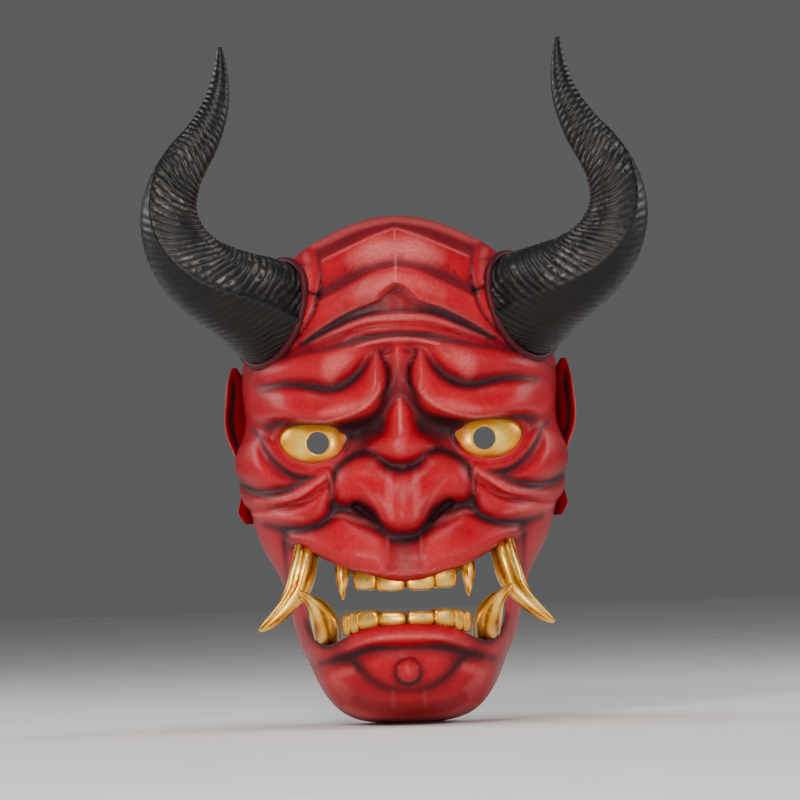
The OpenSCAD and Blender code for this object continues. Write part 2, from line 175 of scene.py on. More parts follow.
# Cast resin under sprayed red lacquer, with dark airbrushed creases that also carry painted shade, and pale dry-brushed
# ridges that also carry painted highlights:
# the eye reads a deep, slightly uneven red with soft gloss.
lacquer = {"red": "#AA001A", "deepRed": "#6E0010", "brightRed": "#BC021E", "shadow": "#2A131A",
           "paleAndHighlight": "#E0706E", "roughness": 0.4}


def lacquerMaterial():
    material, tree, shader, coords, noise = startMaterial("redLacquer", {
        "cloud": (28, 2, even, 0), "mottle": (2.2, 4, even, 0), "speck": (1.1, 3, even, 0),
        "strokes": (1.5, 2, (1, 1, 0.16), 0.4), "brushed": (1.8, 4, even, 0), "peel": (1.6, 2, even, 0)})
    paint = addNode(tree, "ShaderNodeAttribute", attribute_name="paint")
    washAndShade, paleAndHighlight, hatch = addNode(tree, "ShaderNodeSeparateColor", {"Color": paint.outputs["Color"]}).outputs[:3]
    bright = addNode(tree, "ShaderNodeMapRange", {"Value": noise["cloud"], 1: 0.35, 2: 0.65})
    red = addNode(tree, "ShaderNodeMix", {0: bright, 6: toLinear(lacquer["red"]), 7: toLinear(lacquer["brightRed"])},
                  data_type="RGBA")
    deep = addNode(tree, "ShaderNodeMapRange", {"Value": noise["mottle"], 1: 0.45, 2: 0.75, 4: 0.35})
    red = addNode(tree, "ShaderNodeMix", {0: deep, 6: red, 7: toLinear(lacquer["deepRed"])}, data_type="RGBA")
    # the spray's edge breaks up into specks about 1 mm wide
    specks = addNode(tree, "ShaderNodeMapRange", {"Value": noise["speck"], 1: 0.3, 2: 0.7, 3: 0.9, 4: 1.06})
    uneven = addNode(tree, "ShaderNodeMath", {0: washAndShade, 1: specks}, operation="MULTIPLY")
    marks = addNode(tree, "ShaderNodeMapRange", {"Value": noise["strokes"], 1: 0.44, 2: 0.6})
    hatching = addNode(tree, "ShaderNodeMath", {0: hatch, 1: marks}, operation="MULTIPLY")
    # shade: the painted shade of creases, hollows and shadows, with the hatched brush marks, laid over the red in the
    # shadow colour
    shade = addNode(tree, "ShaderNodeMath", {0: uneven, 1: hatching}, operation="MAXIMUM", use_clamp=True)
    shadedAndHatched = addNode(tree, "ShaderNodeMix", {0: shade, 6: red, 7: toLinear(lacquer["shadow"])}, data_type="RGBA")
    # pale dry-brushing and painted highlights, broken up by the brush texture
    brushing = addNode(tree, "ShaderNodeMapRange", {"Value": noise["brushed"], 1: 0.3, 2: 0.65, 3: 0.55, 4: 1.0})
    pale = addNode(tree, "ShaderNodeMath", {0: paleAndHighlight, 1: brushing}, operation="MULTIPLY", use_clamp=True)
    colour = addNode(tree, "ShaderNodeMix", {0: pale, 6: shadedAndHatched, 7: toLinear(lacquer["paleAndHighlight"])}, data_type="RGBA")
    dull = addNode(tree, "ShaderNodeMath", {0: shade, 1: 0.6}, operation="MULTIPLY")
    dull = addNode(tree, "ShaderNodeMath", {0: noise["cloud"], 1: dull}, operation="ADD")
    gloss = addNode(tree, "ShaderNodeMapRange", {"Value": dull, 1: 0.3, 2: 1.3, 3: lacquer["roughness"] - 0.05,
                                                 4: lacquer["roughness"] + 0.2})
    skin = addNode(tree, "ShaderNodeMath", {0: noise["mottle"], 1: 0.6}, operation="MULTIPLY")
    skin = addNode(tree, "ShaderNodeMath", {0: noise["peel"], 1: skin}, operation="ADD")
    bump = addNode(tree, "ShaderNodeBump", {"Height": skin, "Distance": 0.12 * mm, "Strength": 0.5})
    linkUp(tree, shader, {"Base Color": colour, "Roughness": gloss, "Normal": bump, "IOR": 1.46,
                          "Specular IOR Level": 0.2, "Coat Weight": 0.05, "Coat Roughness": 0.28})
    return material


# The inside of the casting is brushed with matt black: a dull, slightly streaky dark.
def insideMaterial():
    material, tree, shader, coords, noise = startMaterial("mattBlackInside", {"streak": (6, 5, (1, 1, 0.3), 0)})
    tone = addNode(tree, "ShaderNodeMapRange", {"Value": noise["streak"], 1: 0.3, 2: 0.7})
    colour = addNode(tree, "ShaderNodeMix", {0: tone, 6: toLinear("#262220"), 7: toLinear("#403A37")}, data_type="RGBA")
    gloss = addNode(tree, "ShaderNodeMapRange", {"Value": noise["streak"], 1: 0.3, 2: 0.7, 3: 0.55, 4: 0.8})
    bump = addNode(tree, "ShaderNodeBump", {"Height": noise["streak"], "Distance": 0.5 * mm, "Strength": 0.5})
    linkUp(tree, shader, {"Base Color": colour, "Roughness": gloss, "Normal": bump})
    return material


# Horns: black-sprayed resin, dry-brushed with grey on the raised ribs; the grey stands in partly as a painted highlight
# where the ribs catch the light.
hornPaint = {"black": "#060505", "brown": "#0E0C0B", "grey": "#918C86"}


def hornMaterial():
    material, tree, shader, coords, noise = startMaterial("dryBrushedBlack", {
        "cloud": (9, 4, even, 0), "dry": (2.4, 5, even, 0), "patches": (12, 2, even, 0), "dust": (14, 3, even, 0)})
    grain = addNode(tree, "ShaderNodeAttribute", attribute_name="grain")
    ribTop, ribbed = addNode(tree, "ShaderNodeSeparateColor", {"Color": grain.outputs["Color"]}).outputs[:2]
    tone = addNode(tree, "ShaderNodeMapRange", {"Value": noise["cloud"], 1: 0.35, 2: 0.7})
    base = addNode(tree, "ShaderNodeMix", {0: tone, 6: toLinear(hornPaint["black"]), 7: toLinear(hornPaint["brown"])},
                   data_type="RGBA")
    # the dry brush touches only some of the ribs, in patches about 12 mm wide; its grey on the rib tops is partly a
    # painted highlight
    patches = addNode(tree, "ShaderNodeMapRange", {"Value": noise["patches"], 1: 0.48, 2: 0.68, 3: 0.06, 4: 1.0})
    tops = addNode(tree, "ShaderNodeMath", {0: ribTop, 1: 2.6}, operation="POWER")
    bristles = addNode(tree, "ShaderNodeMapRange", {"Value": noise["dry"], 1: 0.4, 2: 0.66})
    brushedRibHighlight = addNode(tree, "ShaderNodeMath", {0: tops, 1: bristles}, operation="MULTIPLY")
    brushedRibHighlight = addNode(tree, "ShaderNodeMath", {0: brushedRibHighlight, 1: patches}, operation="MULTIPLY")
    dust = addNode(tree, "ShaderNodeMapRange", {"Value": noise["dust"], 1: 0.4, 2: 0.75, 3: 0.0, 4: 0.03})
    dust = addNode(tree, "ShaderNodeMath", {0: ribbed, 1: dust}, operation="MULTIPLY")
    pale = addNode(tree, "ShaderNodeMath", {0: brushedRibHighlight, 1: dust}, operation="ADD", use_clamp=True)
    colour = addNode(tree, "ShaderNodeMix", {0: pale, 6: base, 7: toLinear(hornPaint["grey"])}, data_type="RGBA")
    gloss = addNode(tree, "ShaderNodeMapRange", {"Value": noise["dry"], 1: 0.3, 2: 0.7, 3: 0.34, 4: 0.52})
    rough = addNode(tree, "ShaderNodeMath", {0: noise["cloud"], 1: 1.5}, operation="MULTIPLY")
    rough = addNode(tree, "ShaderNodeMath", {0: noise["dry"], 1: rough}, operation="ADD")
    bump = addNode(tree, "ShaderNodeBump", {"Height": rough, "Distance": 0.35 * mm, "Strength": 0.6})
    linkUp(tree, shader, {"Base Color": colour, "Roughness": gloss, "Normal": bump, "Specular IOR Level": 0.32})
    return material


# Gold paint over resin with a thin brown stain wiped into the hollows, which on the eyes also carries painted shade,
# and pale patches that are partly painted highlights and reflections: warm metal, never mirror bright.
giltPaint = {"gold": "#FDB636", "pale": "#FFE78C", "stainAndShade": "#7E3402"}
eyePaint = {"gold": "#FFB212", "pale": "#FFE26A", "stainAndShade": "#A44400"}


def giltMaterial(name, colours, metallic, roughness):
    material, tree, shader, coords, noise = startMaterial(name, {"streak": (2.0, 5, even, 0)})
    paint = addNode(tree, "ShaderNodeAttribute", attribute_name="paint")
    washAndShade, paleAndHighlight = addNode(tree, "ShaderNodeSeparateColor", {"Color": paint.outputs["Color"]}).outputs[:2]
    wiped = addNode(tree, "ShaderNodeMapRange", {"Value": noise["streak"], 1: 0.3, 2: 0.7, 3: 0.65, 4: 1.2})
    stainedAndShaded = addNode(tree, "ShaderNodeMath", {0: washAndShade, 1: wiped}, operation="MULTIPLY", use_clamp=True)
    gold = addNode(tree, "ShaderNodeMix", {0: stainedAndShaded, 6: toLinear(colours["gold"]), 7: toLinear(colours["stainAndShade"])},
                   data_type="RGBA")
    rubbed = addNode(tree, "ShaderNodeMapRange", {"Value": noise["streak"], 1: 0.3, 2: 0.6, 3: 0.7, 4: 1.0})
    pale = addNode(tree, "ShaderNodeMath", {0: paleAndHighlight, 1: rubbed}, operation="MULTIPLY", use_clamp=True)
    colour = addNode(tree, "ShaderNodeMix", {0: pale, 6: gold, 7: toLinear(colours["pale"])}, data_type="RGBA")
    gloss = addNode(tree, "ShaderNodeMapRange", {"Value": noise["streak"], 1: 0.3, 2: 0.7, 3: roughness - 0.06,
                                                 4: roughness + 0.12})
    bump = addNode(tree, "ShaderNodeBump", {"Height": noise["streak"], "Distance": 0.18 * mm, "Strength": 0.5})
    linkUp(tree, shader, {"Base Color": colour, "Metallic": metallic, "Roughness": gloss, "Normal": bump})
    return material


# Zinc-plated steel: bluish grey with fine rolling marks and a soft reflection.
def zincMaterial():
    material, tree, shader, coords, noise = startMaterial("zincPlatedSteel", {
        "lines": (0.8, 4, (1, 1, 0.1), 0), "clouding": (5, 3, even, 0)})
    tone = addNode(tree, "ShaderNodeMapRange", {"Value": noise["clouding"], 1: 0.35, 2: 0.7})
    colour = addNode(tree, "ShaderNodeMix", {0: tone, 6: toLinear("#A9ADB2"), 7: toLinear("#C9CBCB")}, data_type="RGBA")
    gloss = addNode(tree, "ShaderNodeMapRange", {"Value": noise["lines"], 1: 0.3, 2: 0.7, 3: 0.24, 4: 0.42})
    bump = addNode(tree, "ShaderNodeBump", {"Height": noise["lines"], "Distance": 0.02 * mm, "Strength": 0.5})
    linkUp(tree, shader, {"Base Color": colour, "Metallic": 1.0, "Roughness": gloss, "Normal": bump})
    return material


# Turned brass, a little dulled: yellow metal with a soft, cloudy reflection.
def brassMaterial():
    material, tree, shader, coords, noise = startMaterial("turnedBrass", {"dull": (2, 4, even, 0)})
    tone = addNode(tree, "ShaderNodeMapRange", {"Value": noise["dull"], 1: 0.35, 2: 0.7})
    colour = addNode(tree, "ShaderNodeMix", {0: tone, 6: toLinear("#8E6A2B"), 7: toLinear("#D6B15C")}, data_type="RGBA")
    gloss = addNode(tree, "ShaderNodeMapRange", {"Value": noise["dull"], 1: 0.3, 2: 0.7, 3: 0.25, 4: 0.45})
    linkUp(tree, shader, {"Base Color": colour, "Metallic": 1.0, "Roughness": gloss})
    return material


# Polyether foam, die-cut: open cells about 0.9 mm wide make it matt and slightly sparkling dark grey.
def foamMaterial():
    material, tree, shader, coords, noise = startMaterial("openCellFoam", {})
    cells = addNode(tree, "ShaderNodeTexVoronoi", {"Vector": coords, "Scale": 1000 / 0.9, "Randomness": 1.0})
    tone = addNode(tree, "ShaderNodeMapRange", {"Value": cells.outputs["Distance"], 1: 0.1, 2: 0.6})
    colour = addNode(tree, "ShaderNodeMix", {0: tone, 6: toLinear("#1A1919"), 7: toLinear("#5A5654")}, data_type="RGBA")
    bump = addNode(tree, "ShaderNodeBump", {"Height": cells.outputs["Distance"], "Distance": 0.4 * mm, "Strength": 0.8})
    linkUp(tree, shader, {"Base Color": colour, "Roughness": 0.95, "Sheen Weight": 0.2, "Normal": bump})
    return material


# The floor is a pale matt board: quiet, slightly mottled off-white.
def floorMaterial():
    material, tree, shader, coords, noise = startMaterial("paleBoard", {"mottle": (60, 3, even, 0)})
    tone = addNode(tree, "ShaderNodeMapRange", {"Value": noise["mottle"], 1: 0.3, 2: 0.7})
    colour = addNode(tree, "ShaderNodeMix", {0: tone, 6: toLinear("#E4E2DE"), 7: toLinear("#ECEAE7")}, data_type="RGBA")
    linkUp(tree, shader, {"Base Color": colour, "Roughness": 0.9})
    return material


redLacquer, mattBlackInside = lacquerMaterial(), insideMaterial()
dryBrushedBlack = hornMaterial()
giltTeeth = giltMaterial("stainedGoldPaint", giltPaint, 0.82, 0.3)
giltEye = giltMaterial("glossyGoldPaint", eyePaint, 0.3, 0.24)
zincSteel, turnedBrass, openCellFoam = zincMaterial(), brassMaterial(), foamMaterial()
print("materials ready")


# face shell: half outlines and strokes in millimetres, x outwards from the mid-line and z up

faceShell = {
    "domeDepth": 72, "wall": 4, "centreHeight": -10, "roundPower": 0.4,
    "radii": [122, 118.5, 112, 100, 90.5, 81, 82.6, 80.4, 82, 86, 104.5, 129, 130],
    "fullness": [5, 4.8, 4.2, 3.6, 3.2, 3, 3, 3, 3.2, 4, 6, 8, 8.5],
    "columns": 250, "rows": 310,
    # broad swells and hollows: middle x and z, half width x and z, height
    "swells": [[0, -82, 40, 26, 9], [0, -120, 27, 17, 11], [44, 1, 22, 9, -5.5], [20, 6, 9, 8, -5.5],
               [0, 52, 30, 26, 3.5],
               [0, -54, 46, 13, 4]],
    "noseTip": [[0, -35, 14.5, 13, 18], [0, -20, 20, 9, 2.5]],
    # rolls: outline, edge width, height, edge roundness
    "rolls": {
        "upperBrow": ([[13, 47.4], [22, 50.4], [35, 49], [50, 45.6], [62, 42.6], [72, 38], [73, 32.6], [66, 29.6],
                       [58, 30.4], [50, 29.8], [44, 29], [38, 27.6], [32, 28], [27, 29.6], [22.4, 32.6], [18.6, 36.6],
                       [15.6, 41.4]], 8, 6.6, 0.62),
        "browRoll": ([[12, 46], [8.4, 42], [6.4, 36], [5, 30], [4.8, 25], [7, 19.5], [11, 14.8], [16, 11.4], [23, 9.4],
                      [31, 9.2], [40, 9.4], [48, 9.8], [55, 11], [62, 11.4], [70, 11], [76, 14], [77, 20], [74, 25.5],
                      [66, 27.4], [58, 28.2], [50, 27.6], [44, 26.8], [38, 25.4], [32, 25.8], [27, 27.4], [22, 30.4],
                      [18, 34.6], [15, 39.2]], 5.6, 8, 0.55),
        "frown": (bothHalves([[0, 50], [4.6, 45], [4.8, 40], [4.8, 33], [4, 27], [3, 22.5], [0, 21]]), 5, 3.2, 0.8),
        "noseCone": (bothHalves([[0, 23], [3.6, 17], [6, 10], [8, 4], [7, 0], [0, -1.6]]), 7, 9.5, 0.8),
        "noseBulb": (bothHalves([[0, 6], [7, 5], [13, 1.6], [17, -2.4], [12, -8.4], [6, -12.2], [0, -13.2]]), 11, 10,
                     0.6),
        "lidRoll": ([[27, -5], [33, -9.6], [40, -11.6], [46, -11.6], [53, -9.8], [58.5, -5.5], [62.5, 0], [67, 4],
                     [72, 7],
                     [71, 2], [66.5, -4.5], [61, -10.5], [54, -14.6], [47, -16.2], [40, -15], [34, -12.6], [29, -9.5]],
                    3.4, 3.2, 0.55),
        "eyeBag": ([[71, 4], [78, 2], [83, -5], [85, -12], [81, -17.6], [75, -20.8], [68, -22], [62, -21.6],
                    [55, -20.4],
                    [49, -19.2], [53, -18.4], [58, -17], [63, -14], [67, -9.6], [69.6, -5], [70.4, 0]], 7, 5.4, 0.6),
        "cheekFold": ([[35.8, -11.6], [41, -15.2], [47, -18.4], [54, -21.8], [62, -23.8], [72, -23.4], [80, -20],
                       [85, -22],
                       [84, -29], [78, -31.6], [70, -31.6], [62, -30.8], [55, -29.8], [50, -28.2], [45, -25.2],
                       [41, -21.8], [37.8, -19.4], [35.8, -16.6]], 4.4, 7.2, 0.55),
        "cheekPad": ([[35.4, -18], [40, -22], [45, -26], [50, -29], [56, -30.8], [64, -31.8], [72, -32], [76, -34],
                      [70, -37.4], [62, -40], [54, -41.6], [46, -41.2], [39, -38], [35.6, -33.4], [34.6, -26]], 8, 7.4,
                      0.6),
        "chinLens": (bothHalves([[0, -101], [10, -101.2], [18, -103], [26, -107.4], [23, -112.4], [16.6, -117.6],
                                 [9, -121], [0, -122]]), 5, 2.4, 0.7),
        "chinCrescent": (bothHalves([[0, -122.6], [10, -121.6], [19, -117], [26, -110.4], [34, -107.4], [45, -107],
                                     [46, -115], [40, -125], [34, -132], [20, -137], [0, -138]]), 8, 4.6, 0.6),
        "chinRing": (bothHalves([[0, -104.6], [6, -107], [9, -112.4], [6, -118], [0, -120.4]]), 3, 3.4, 0.7)},
    # ridges and grooves: points are x, z, half width, height (a groove is negative)
    "ridges": [
        ([[0, 60.4, 3.4, 2.6], [14, 59.6, 3.2, 2.6], [28, 55.4, 2.8, 2.2], [42, 49.4, 2.2, 1.6], [52, 45.4, 1.6, 0.8]],
         0.7),
        ([[0, 55.6, 3, 1.6], [14, 54.6, 2.8, 1.6], [28, 51, 2.4, 1.3], [42, 46.8, 2, 0.9]], 0.7),
        ([[0, 49.4, 2.4, 2.2], [10, 48.9, 2.2, 2.2], [20, 46.8, 1.8, 1.2], [30, 45, 1.4, 0.4]], 0.7),
        ([[0, 46, 4, -0.4], [8.2, 43, 1.6, -1.6], [5.4, 36, 1.5, -2.4], [5, 29, 1.6, -2.6], [7.6, 23, 2, -2]], 0.9),
        ([[62, 3.4, 2.4, 1], [59, 8.2, 2.4, 1.6], [54, 10.4, 2.4, 1.9], [47, 11, 2.4, 2], [39, 10.4, 2.4, 2],
          [31.5, 8.4, 2.4, 1.6], [25.8, 2.6, 2, 0.6], [28, -4, 1.6, 0.7], [34.4, -8.8, 1.5, 1], [43, -11, 1.5, 1],
          [51.4, -9.8, 1.5, 1], [58, -5.6, 1.5, 0.9], [61.4, -0.5, 1.6, 0.7]], 0.7),
        ([[35.4, -14, 1.6, 0.8], [34.8, -21, 1.6, 1.4], [34.8, -28, 1.6, 0.8]], 0.8),
        ([[23, -31, 3.2, -3.4], [18, -35, 2.8, -3.2], [13, -40.5, 2, -2]], 0.8),
        ([[44, -53.4, 3, 1.4], [33, -58.6, 2.6, 1.6], [22, -61.6, 2.4, 1.6], [10, -63.4, 2.4, 1.6],
          [0, -64.6, 2.4, 1.6]], 0.8),
        ([[0, -95.4, 4, 1.6], [14, -95.8, 3.6, 1.5], [26, -99, 3, 1]], 0.8),
        ([[58.5, -46, 2, -1.2], [58.6, -58, 2, -1.4], [57.6, -70, 2, -1]], 0.9),
        ([[8.2, -123, 1.4, -0.8], [8.6, -131, 1.4, -0.5]], 0.9),
        ([[47, 75.4, 0.8, -1.8], [37.6, 72.6, 0.8, -1.8]], 0.7),
        ([[46, 88.2, 0.7, -1.2], [41.5, 88, 0.6, -0.8]], 0.7),
        ([[58.6, 50.8, 0.8, -1.6], [54.2, 46.6, 0.8, -1.6]], 0.7)],
    # forehead plates: upper edge height along x, and how far the plate stands out there
    "plateTop": [[0, 105.2], [10, 102.2], [20, 98.2], [30, 93.8], [38, 89.6], [48, 84]],
    "plateMid": [[0, 86.6], [10, 84.2], [20, 79.6], [30, 74.6], [38, 70.4], [48, 64]],
    "plateFoot": [[0, 77.2], [5, 74.4], [10, 69.6], [16, 67.2], [22, 65], [35, 58.2], [48, 50], [58, 44]],
    "muzzle": bothHalves([[0, -45.2], [7, -44.2], [12, -41], [20, -38.6], [27, -36], [30.6, -34.6], [35, -36.6],
                          [41, -40], [49, -41.8], [56, -42.8], [59.4, -45.6], [57.6, -48.8], [52, -50.4], [46, -53.4],
                          [40, -56.8], [33, -60.4], [25, -63.2], [15, -66.2], [7, -68.6], [0, -69.4]]),
    "lowerLip": bothHalves([[0, -89.6], [8, -89.8], [16, -90.6], [22, -92.2], [27, -94.8], [32, -98], [37, -100.6],
                            [42, -100], [46, -96.4], [49, -90], [51, -83], [53, -77], [58, -76], [61, -84], [60, -94],
                            [56, -101], [49, -105.8], [42, -107.4], [36, -106.2], [30, -103.8], [22, -101.4],
                            [14, -100.2],
                            [0, -100.6]]),
    "nose": bothHalves([[0, -13.4], [4, -13], [8, -10.4], [11, -7.4], [15, -5.6], [20, -6.4], [25, -8.6], [30, -11.8],
                        [33.4, -16.5], [34.6, -22], [33.8, -27], [30.6, -30], [26, -30.4], [21.4, -30.6], [17.6, -33],
                        [14.2, -37], [11.4, -41.4], [8, -44.8], [4, -46.2], [0, -46.6]]),
    "noseFront": bothHalves([[0, -11], [10, -7], [20, -8], [26, -13], [25.6, -19], [20.4, -22.4], [17.4, -25.4],
                             [14.4, -30], [11.8, -35.4], [9.4, -40], [6, -43.8], [0, -45.4]]),
    "browEdge": [[76, 16, 8, 1], [66, 14.4, 8, 2], [58, 14.2, 8, 3], [50, 12.8, 8, 4], [42, 12, 8, 4.6],
                 [34, 12.4, 8, 4.8],
                 [27, 14.2, 8, 4.8], [20, 17.4, 8, 4.6], [14.4, 21.8, 7, 4.4], [10.6, 27, 6, 4], [9.6, 33, 5, 3.2],
                 [11.4, 39.4, 4, 1.6]],
    "mouthGap": bothHalves([[0, -69], [8, -68.2], [15, -66], [25, -63], [33, -60.2], [39, -57.4], [43, -55.6],
                            [46.5, -58], [47.5, -66], [48.5, -74], [49, -82], [48, -90], [45, -96.6], [40, -99.4],
                            [35, -98.4], [30, -96], [24, -93], [16, -91], [8, -90.2], [0, -90]]),
    "collar": [[38.2, 97], [37.4, 88], [37, 80], [38.4, 73], [42.2, 62], [50.2, 52], [60, 44], [70, 38.4], [84, 34],
               [100, 60],
               [90, 100], [60, 110], [42, 103]],
    "eyeGap": [[60, 2], [59, 6], [54, 8.4], [47, 9], [39, 8.8], [33, 7.4], [29.2, 4.4], [28.4, 0], [30, -4.2],
               [35, -7.8],
               [43, -9.6], [51, -8.2], [57, -4.2]],
    # airbrushed shadow: x, z, half width, strength
    "shadow": [
        [[0, 107, 2, 0.5], [12, 104, 2.4, 0.5], [24, 99.4, 3, 0.55], [36, 94, 3.4, 0.5]],
        [[0, 88, 2, 0.6], [12, 86, 3, 0.6], [22, 81.4, 4, 0.6], [32, 76.4, 4, 0.6], [39, 72.6, 3.4, 0.55]],
        [[0, 69.6, 4, 0.06], [6, 68, 3.4, 0.14], [12, 66, 3, 0.42], [24, 62, 3.4, 0.7], [36, 55.6, 3, 0.7],
         [47, 49, 2.2, 0.55]],
        [[0, 64.4, 2.4, 0.5], [15, 63, 2.4, 0.6], [30, 58, 2.8, 0.68], [44, 50.4, 2, 0.6]],
        [[0, 52.6, 2.4, 0.7], [15, 51.2, 2.4, 0.7], [30, 47.6, 2.6, 0.66], [44, 45, 2.2, 0.55], [58, 42.6, 2.6, 0.4]],
        [[68, 27.6, 2.4, 0.35], [56, 29.2, 2, 0.6], [46, 28, 1.9, 0.66], [37, 26.4, 2, 0.7], [30, 26.6, 2.2, 0.7],
         [24, 29.4, 2, 0.66], [18.6, 34, 1.9, 0.62], [14.6, 39, 1.6, 0.55], [12, 44, 1.4, 0.4]],
        [[9.6, 45, 1.4, 0.5], [6.4, 38, 1.8, 0.66], [5.2, 32, 2, 0.72], [5.6, 26, 2.6, 0.76], [8, 21, 3.4, 0.7]],
        [[8, 18.4, 2.6, 0.6], [12, 12.6, 3, 0.66], [19, 9.6, 3.6, 0.72], [27, 8, 3, 0.8], [34, 9, 1.8, 0.7],
         [46, 10.4, 1.6, 0.66], [56, 10, 2.4, 0.7], [66, 8.4, 3.4, 0.55]],
        [[9.4, 9, 2.6, 0.55], [10.4, 4, 2.4, 0.35]],
        [[23, 5, 3, 0.6], [26.4, 1, 2.2, 0.7], [27.4, -4, 1.8, 0.5]],
        [[73, 7, 1.8, 0.6], [69, 3, 1.8, 0.66], [66.6, -2.6, 2, 0.74], [61, -10, 2.2, 0.82], [54, -15.2, 2.2, 0.85],
         [47, -17, 2, 0.8], [42.4, -16.2, 1.2, 0.5]],
        [[80, -17.6, 2.4, 0.66], [74, -23, 3, 0.76], [66, -24.6, 3, 0.76], [57, -22.6, 2.6, 0.72],
         [49, -19.2, 1.6, 0.6]],
        [[34.4, -30, 2, 0.66], [34.8, -22, 2.2, 0.62], [32.6, -14.6, 2.6, 0.72], [27, -9, 2.8, 0.78],
         [19, -5.4, 3, 0.78],
         [12, -7.4, 3, 0.72], [7, -12.2, 2.6, 0.62], [0, -14.4, 1.6, 0.55]],
        [[35.6, -31.6, 2.2, 0.7], [29, -32.6, 2.2, 0.8], [22, -33, 2.4, 0.9], [17, -36, 2, 0.85],
         [12.6, -41.6, 1.8, 0.7],
         [7, -45.6, 1.6, 0.6], [0, -47, 1.8, 0.6]],
        [[34, -34, 2.4, 0.7], [40, -39.4, 2.8, 0.8], [48, -42, 3, 0.78], [58, -42, 3.2, 0.66], [68, -40, 3, 0.5]],
        [[0, -49, 3.6, 0.55], [5.6, -48.4, 3, 0.5]], [[7.4, -46, 0.9, 0.5], [7.6, -62, 0.9, 0.45]],
        [[0, -52, 7, 0.45], [0, -58, 7, 0.4], [0, -64, 6, 0.3]],
        [[34, -106, 6, 0.4], [25, -110, 5, 0.45], [18, -118, 5, 0.3], [8, -122, 4, 0.3]],
        [[58.6, -44, 3, 0.6], [58.6, -50, 3.4, 0.55], [58.6, -58, 2.6, 0.4], [58, -68, 2.6, 0.34]],
        [[54, -51, 2, 0.75], [46, -54.6, 2.2, 0.85], [38, -59.2, 2.2, 0.85], [31, -62.6, 1.8, 0.6]],
        [[49, -88, 2.6, 0.55], [46.6, -94, 3, 0.75], [42, -99.6, 2.8, 0.85], [36, -99.6, 2.4, 0.8],
         [30, -96, 1.8, 0.5]],
        [[42, -108.4, 2.6, 0.6], [34, -106.4, 3, 0.76], [26, -103.8, 3, 0.8], [17, -101.6, 2.4, 0.74],
         [8, -101.4, 1.6, 0.6],
         [0, -101.6, 1.4, 0.5]],
        [[26, -108, 2, 0.4], [19, -116.4, 2.6, 0.5], [10, -121.6, 2.4, 0.45], [0, -123, 2, 0.4]],
        [[0, -106.2, 1.2, 0.4], [4.4, -107.8, 1.2, 0.4], [6.6, -112.4, 1.6, 0.6], [4.8, -117.6, 1.8, 0.75],
         [0, -119.4, 2, 0.8]],
        [[38.4, 93, 1.2, 0.55], [37.4, 80, 1.2, 0.6], [38.6, 73, 1.2, 0.6], [42.6, 62, 1.4, 0.6], [50.6, 52, 1.4, 0.55],
         [60, 44.4, 1.6, 0.5]],
        [[46, 74.9, 0.7, 0.8], [38, 72.7, 0.7, 0.8]], [[45.6, 88.2, 0.5, 0.6], [42, 88, 0.5, 0.5]],
        [[58, 50.2, 0.7, 0.8], [54.6, 47, 0.7, 0.8]],
        [[72, 38, 5, 0.4], [64, 40, 4, 0.45], [56, 44, 3, 0.45]],
        [[0, -131, 3, 0.3], [20, -129.6, 3, 0.3], [33, -122, 3, 0.25]]],
    # pale dry-brushing and painted highlights: x, z, half width, strength
    "light": [
        [[3, 96, 7, 0.7], [10, 94, 9, 0.85], [20, 90, 7, 0.4]], [[2, 80.6, 4, 0.4], [12, 77, 5, 0.4], [22, 72, 5, 0.2]],
        [[0, 103.6, 0.9, 0.6], [0, 90, 0.9, 0.5], [0, 78, 0.9, 0.6]],
        [[26, 42, 5, 0.3], [33, 38, 7, 0.6], [34, 32, 4.6, 0.36]],
        [[9.4, 30, 0.8, 0.4], [10.4, 25.6, 1, 0.7], [14.4, 20.8, 1.2, 0.8], [20, 16.8, 1.4, 0.8], [29, 13, 1.5, 0.85],
         [40, 11.4, 1.1, 0.85], [50, 12.6, 0.8, 0.4]], [[18, 20, 3, 0.2], [29, 17, 4, 0.35], [38, 15, 3, 0.25]],
        [[0, 49.9, 0.8, 0.6], [10, 49.3, 0.8, 0.6], [20, 47.2, 0.8, 0.4]],
        [[0, 77, 0.9, 0.6], [5, 74, 0.9, 0.6], [10, 69.8, 1, 0.6], [22, 65.4, 1, 0.5], [35, 58.6, 0.9, 0.5],
         [47, 50.8, 0.8, 0.4]],
        [[1, 104.2, 0.8, 0.55], [12, 100.6, 0.9, 0.55], [25, 95, 0.9, 0.5], [36, 90, 0.9, 0.4]],
        [[0, 60.8, 1.8, 0.5], [15, 60, 1.6, 0.45], [30, 54.8, 1.4, 0.45], [43, 49.6, 1, 0.4]],
        [[38, -16.6, 1.8, 0.36], [45, -21, 2, 0.5], [52, -25, 2.2, 0.55], [60, -27, 1.8, 0.42], [72, -27.6, 1.6, 0.3]],
        [[41, -24.4, 0.6, 0.35], [47, -28, 0.7, 0.4], [56, -29.2, 0.6, 0.3]],
        [[36.6, -15, 1.2, 0.3], [35, -20, 0.9, 0.5], [35, -27, 0.8, 0.4]],
        [[6.6, -14, 2, 0.1], [7, -25, 3, 0.4], [6, -36, 2.2, 0.3]], [[22, -19, 1.6, 0.1], [17, -24, 1.9, 0.18],
            [13, -31, 1.8, 0.2], [10, -38, 1.5, 0.15]],
        [[0, 20.6, 0.6, 0.6], [0, 5, 0.9, 0.6]], [[0, 0, 3.6, 0.3], [0, -5, 4, 0.2]],
        [[35, -36.4, 1.2, 0.4], [30.4, -35.8, 1.6, 0.7], [24, -38, 2, 0.7], [18, -39.8, 2, 0.66],
         [13, -42.4, 1.2, 0.4]],
        [[34, -59.6, 0.8, 0.45], [22, -62, 0.8, 0.55], [10, -63.6, 0.8, 0.55], [0, -65, 0.7, 0.4]],
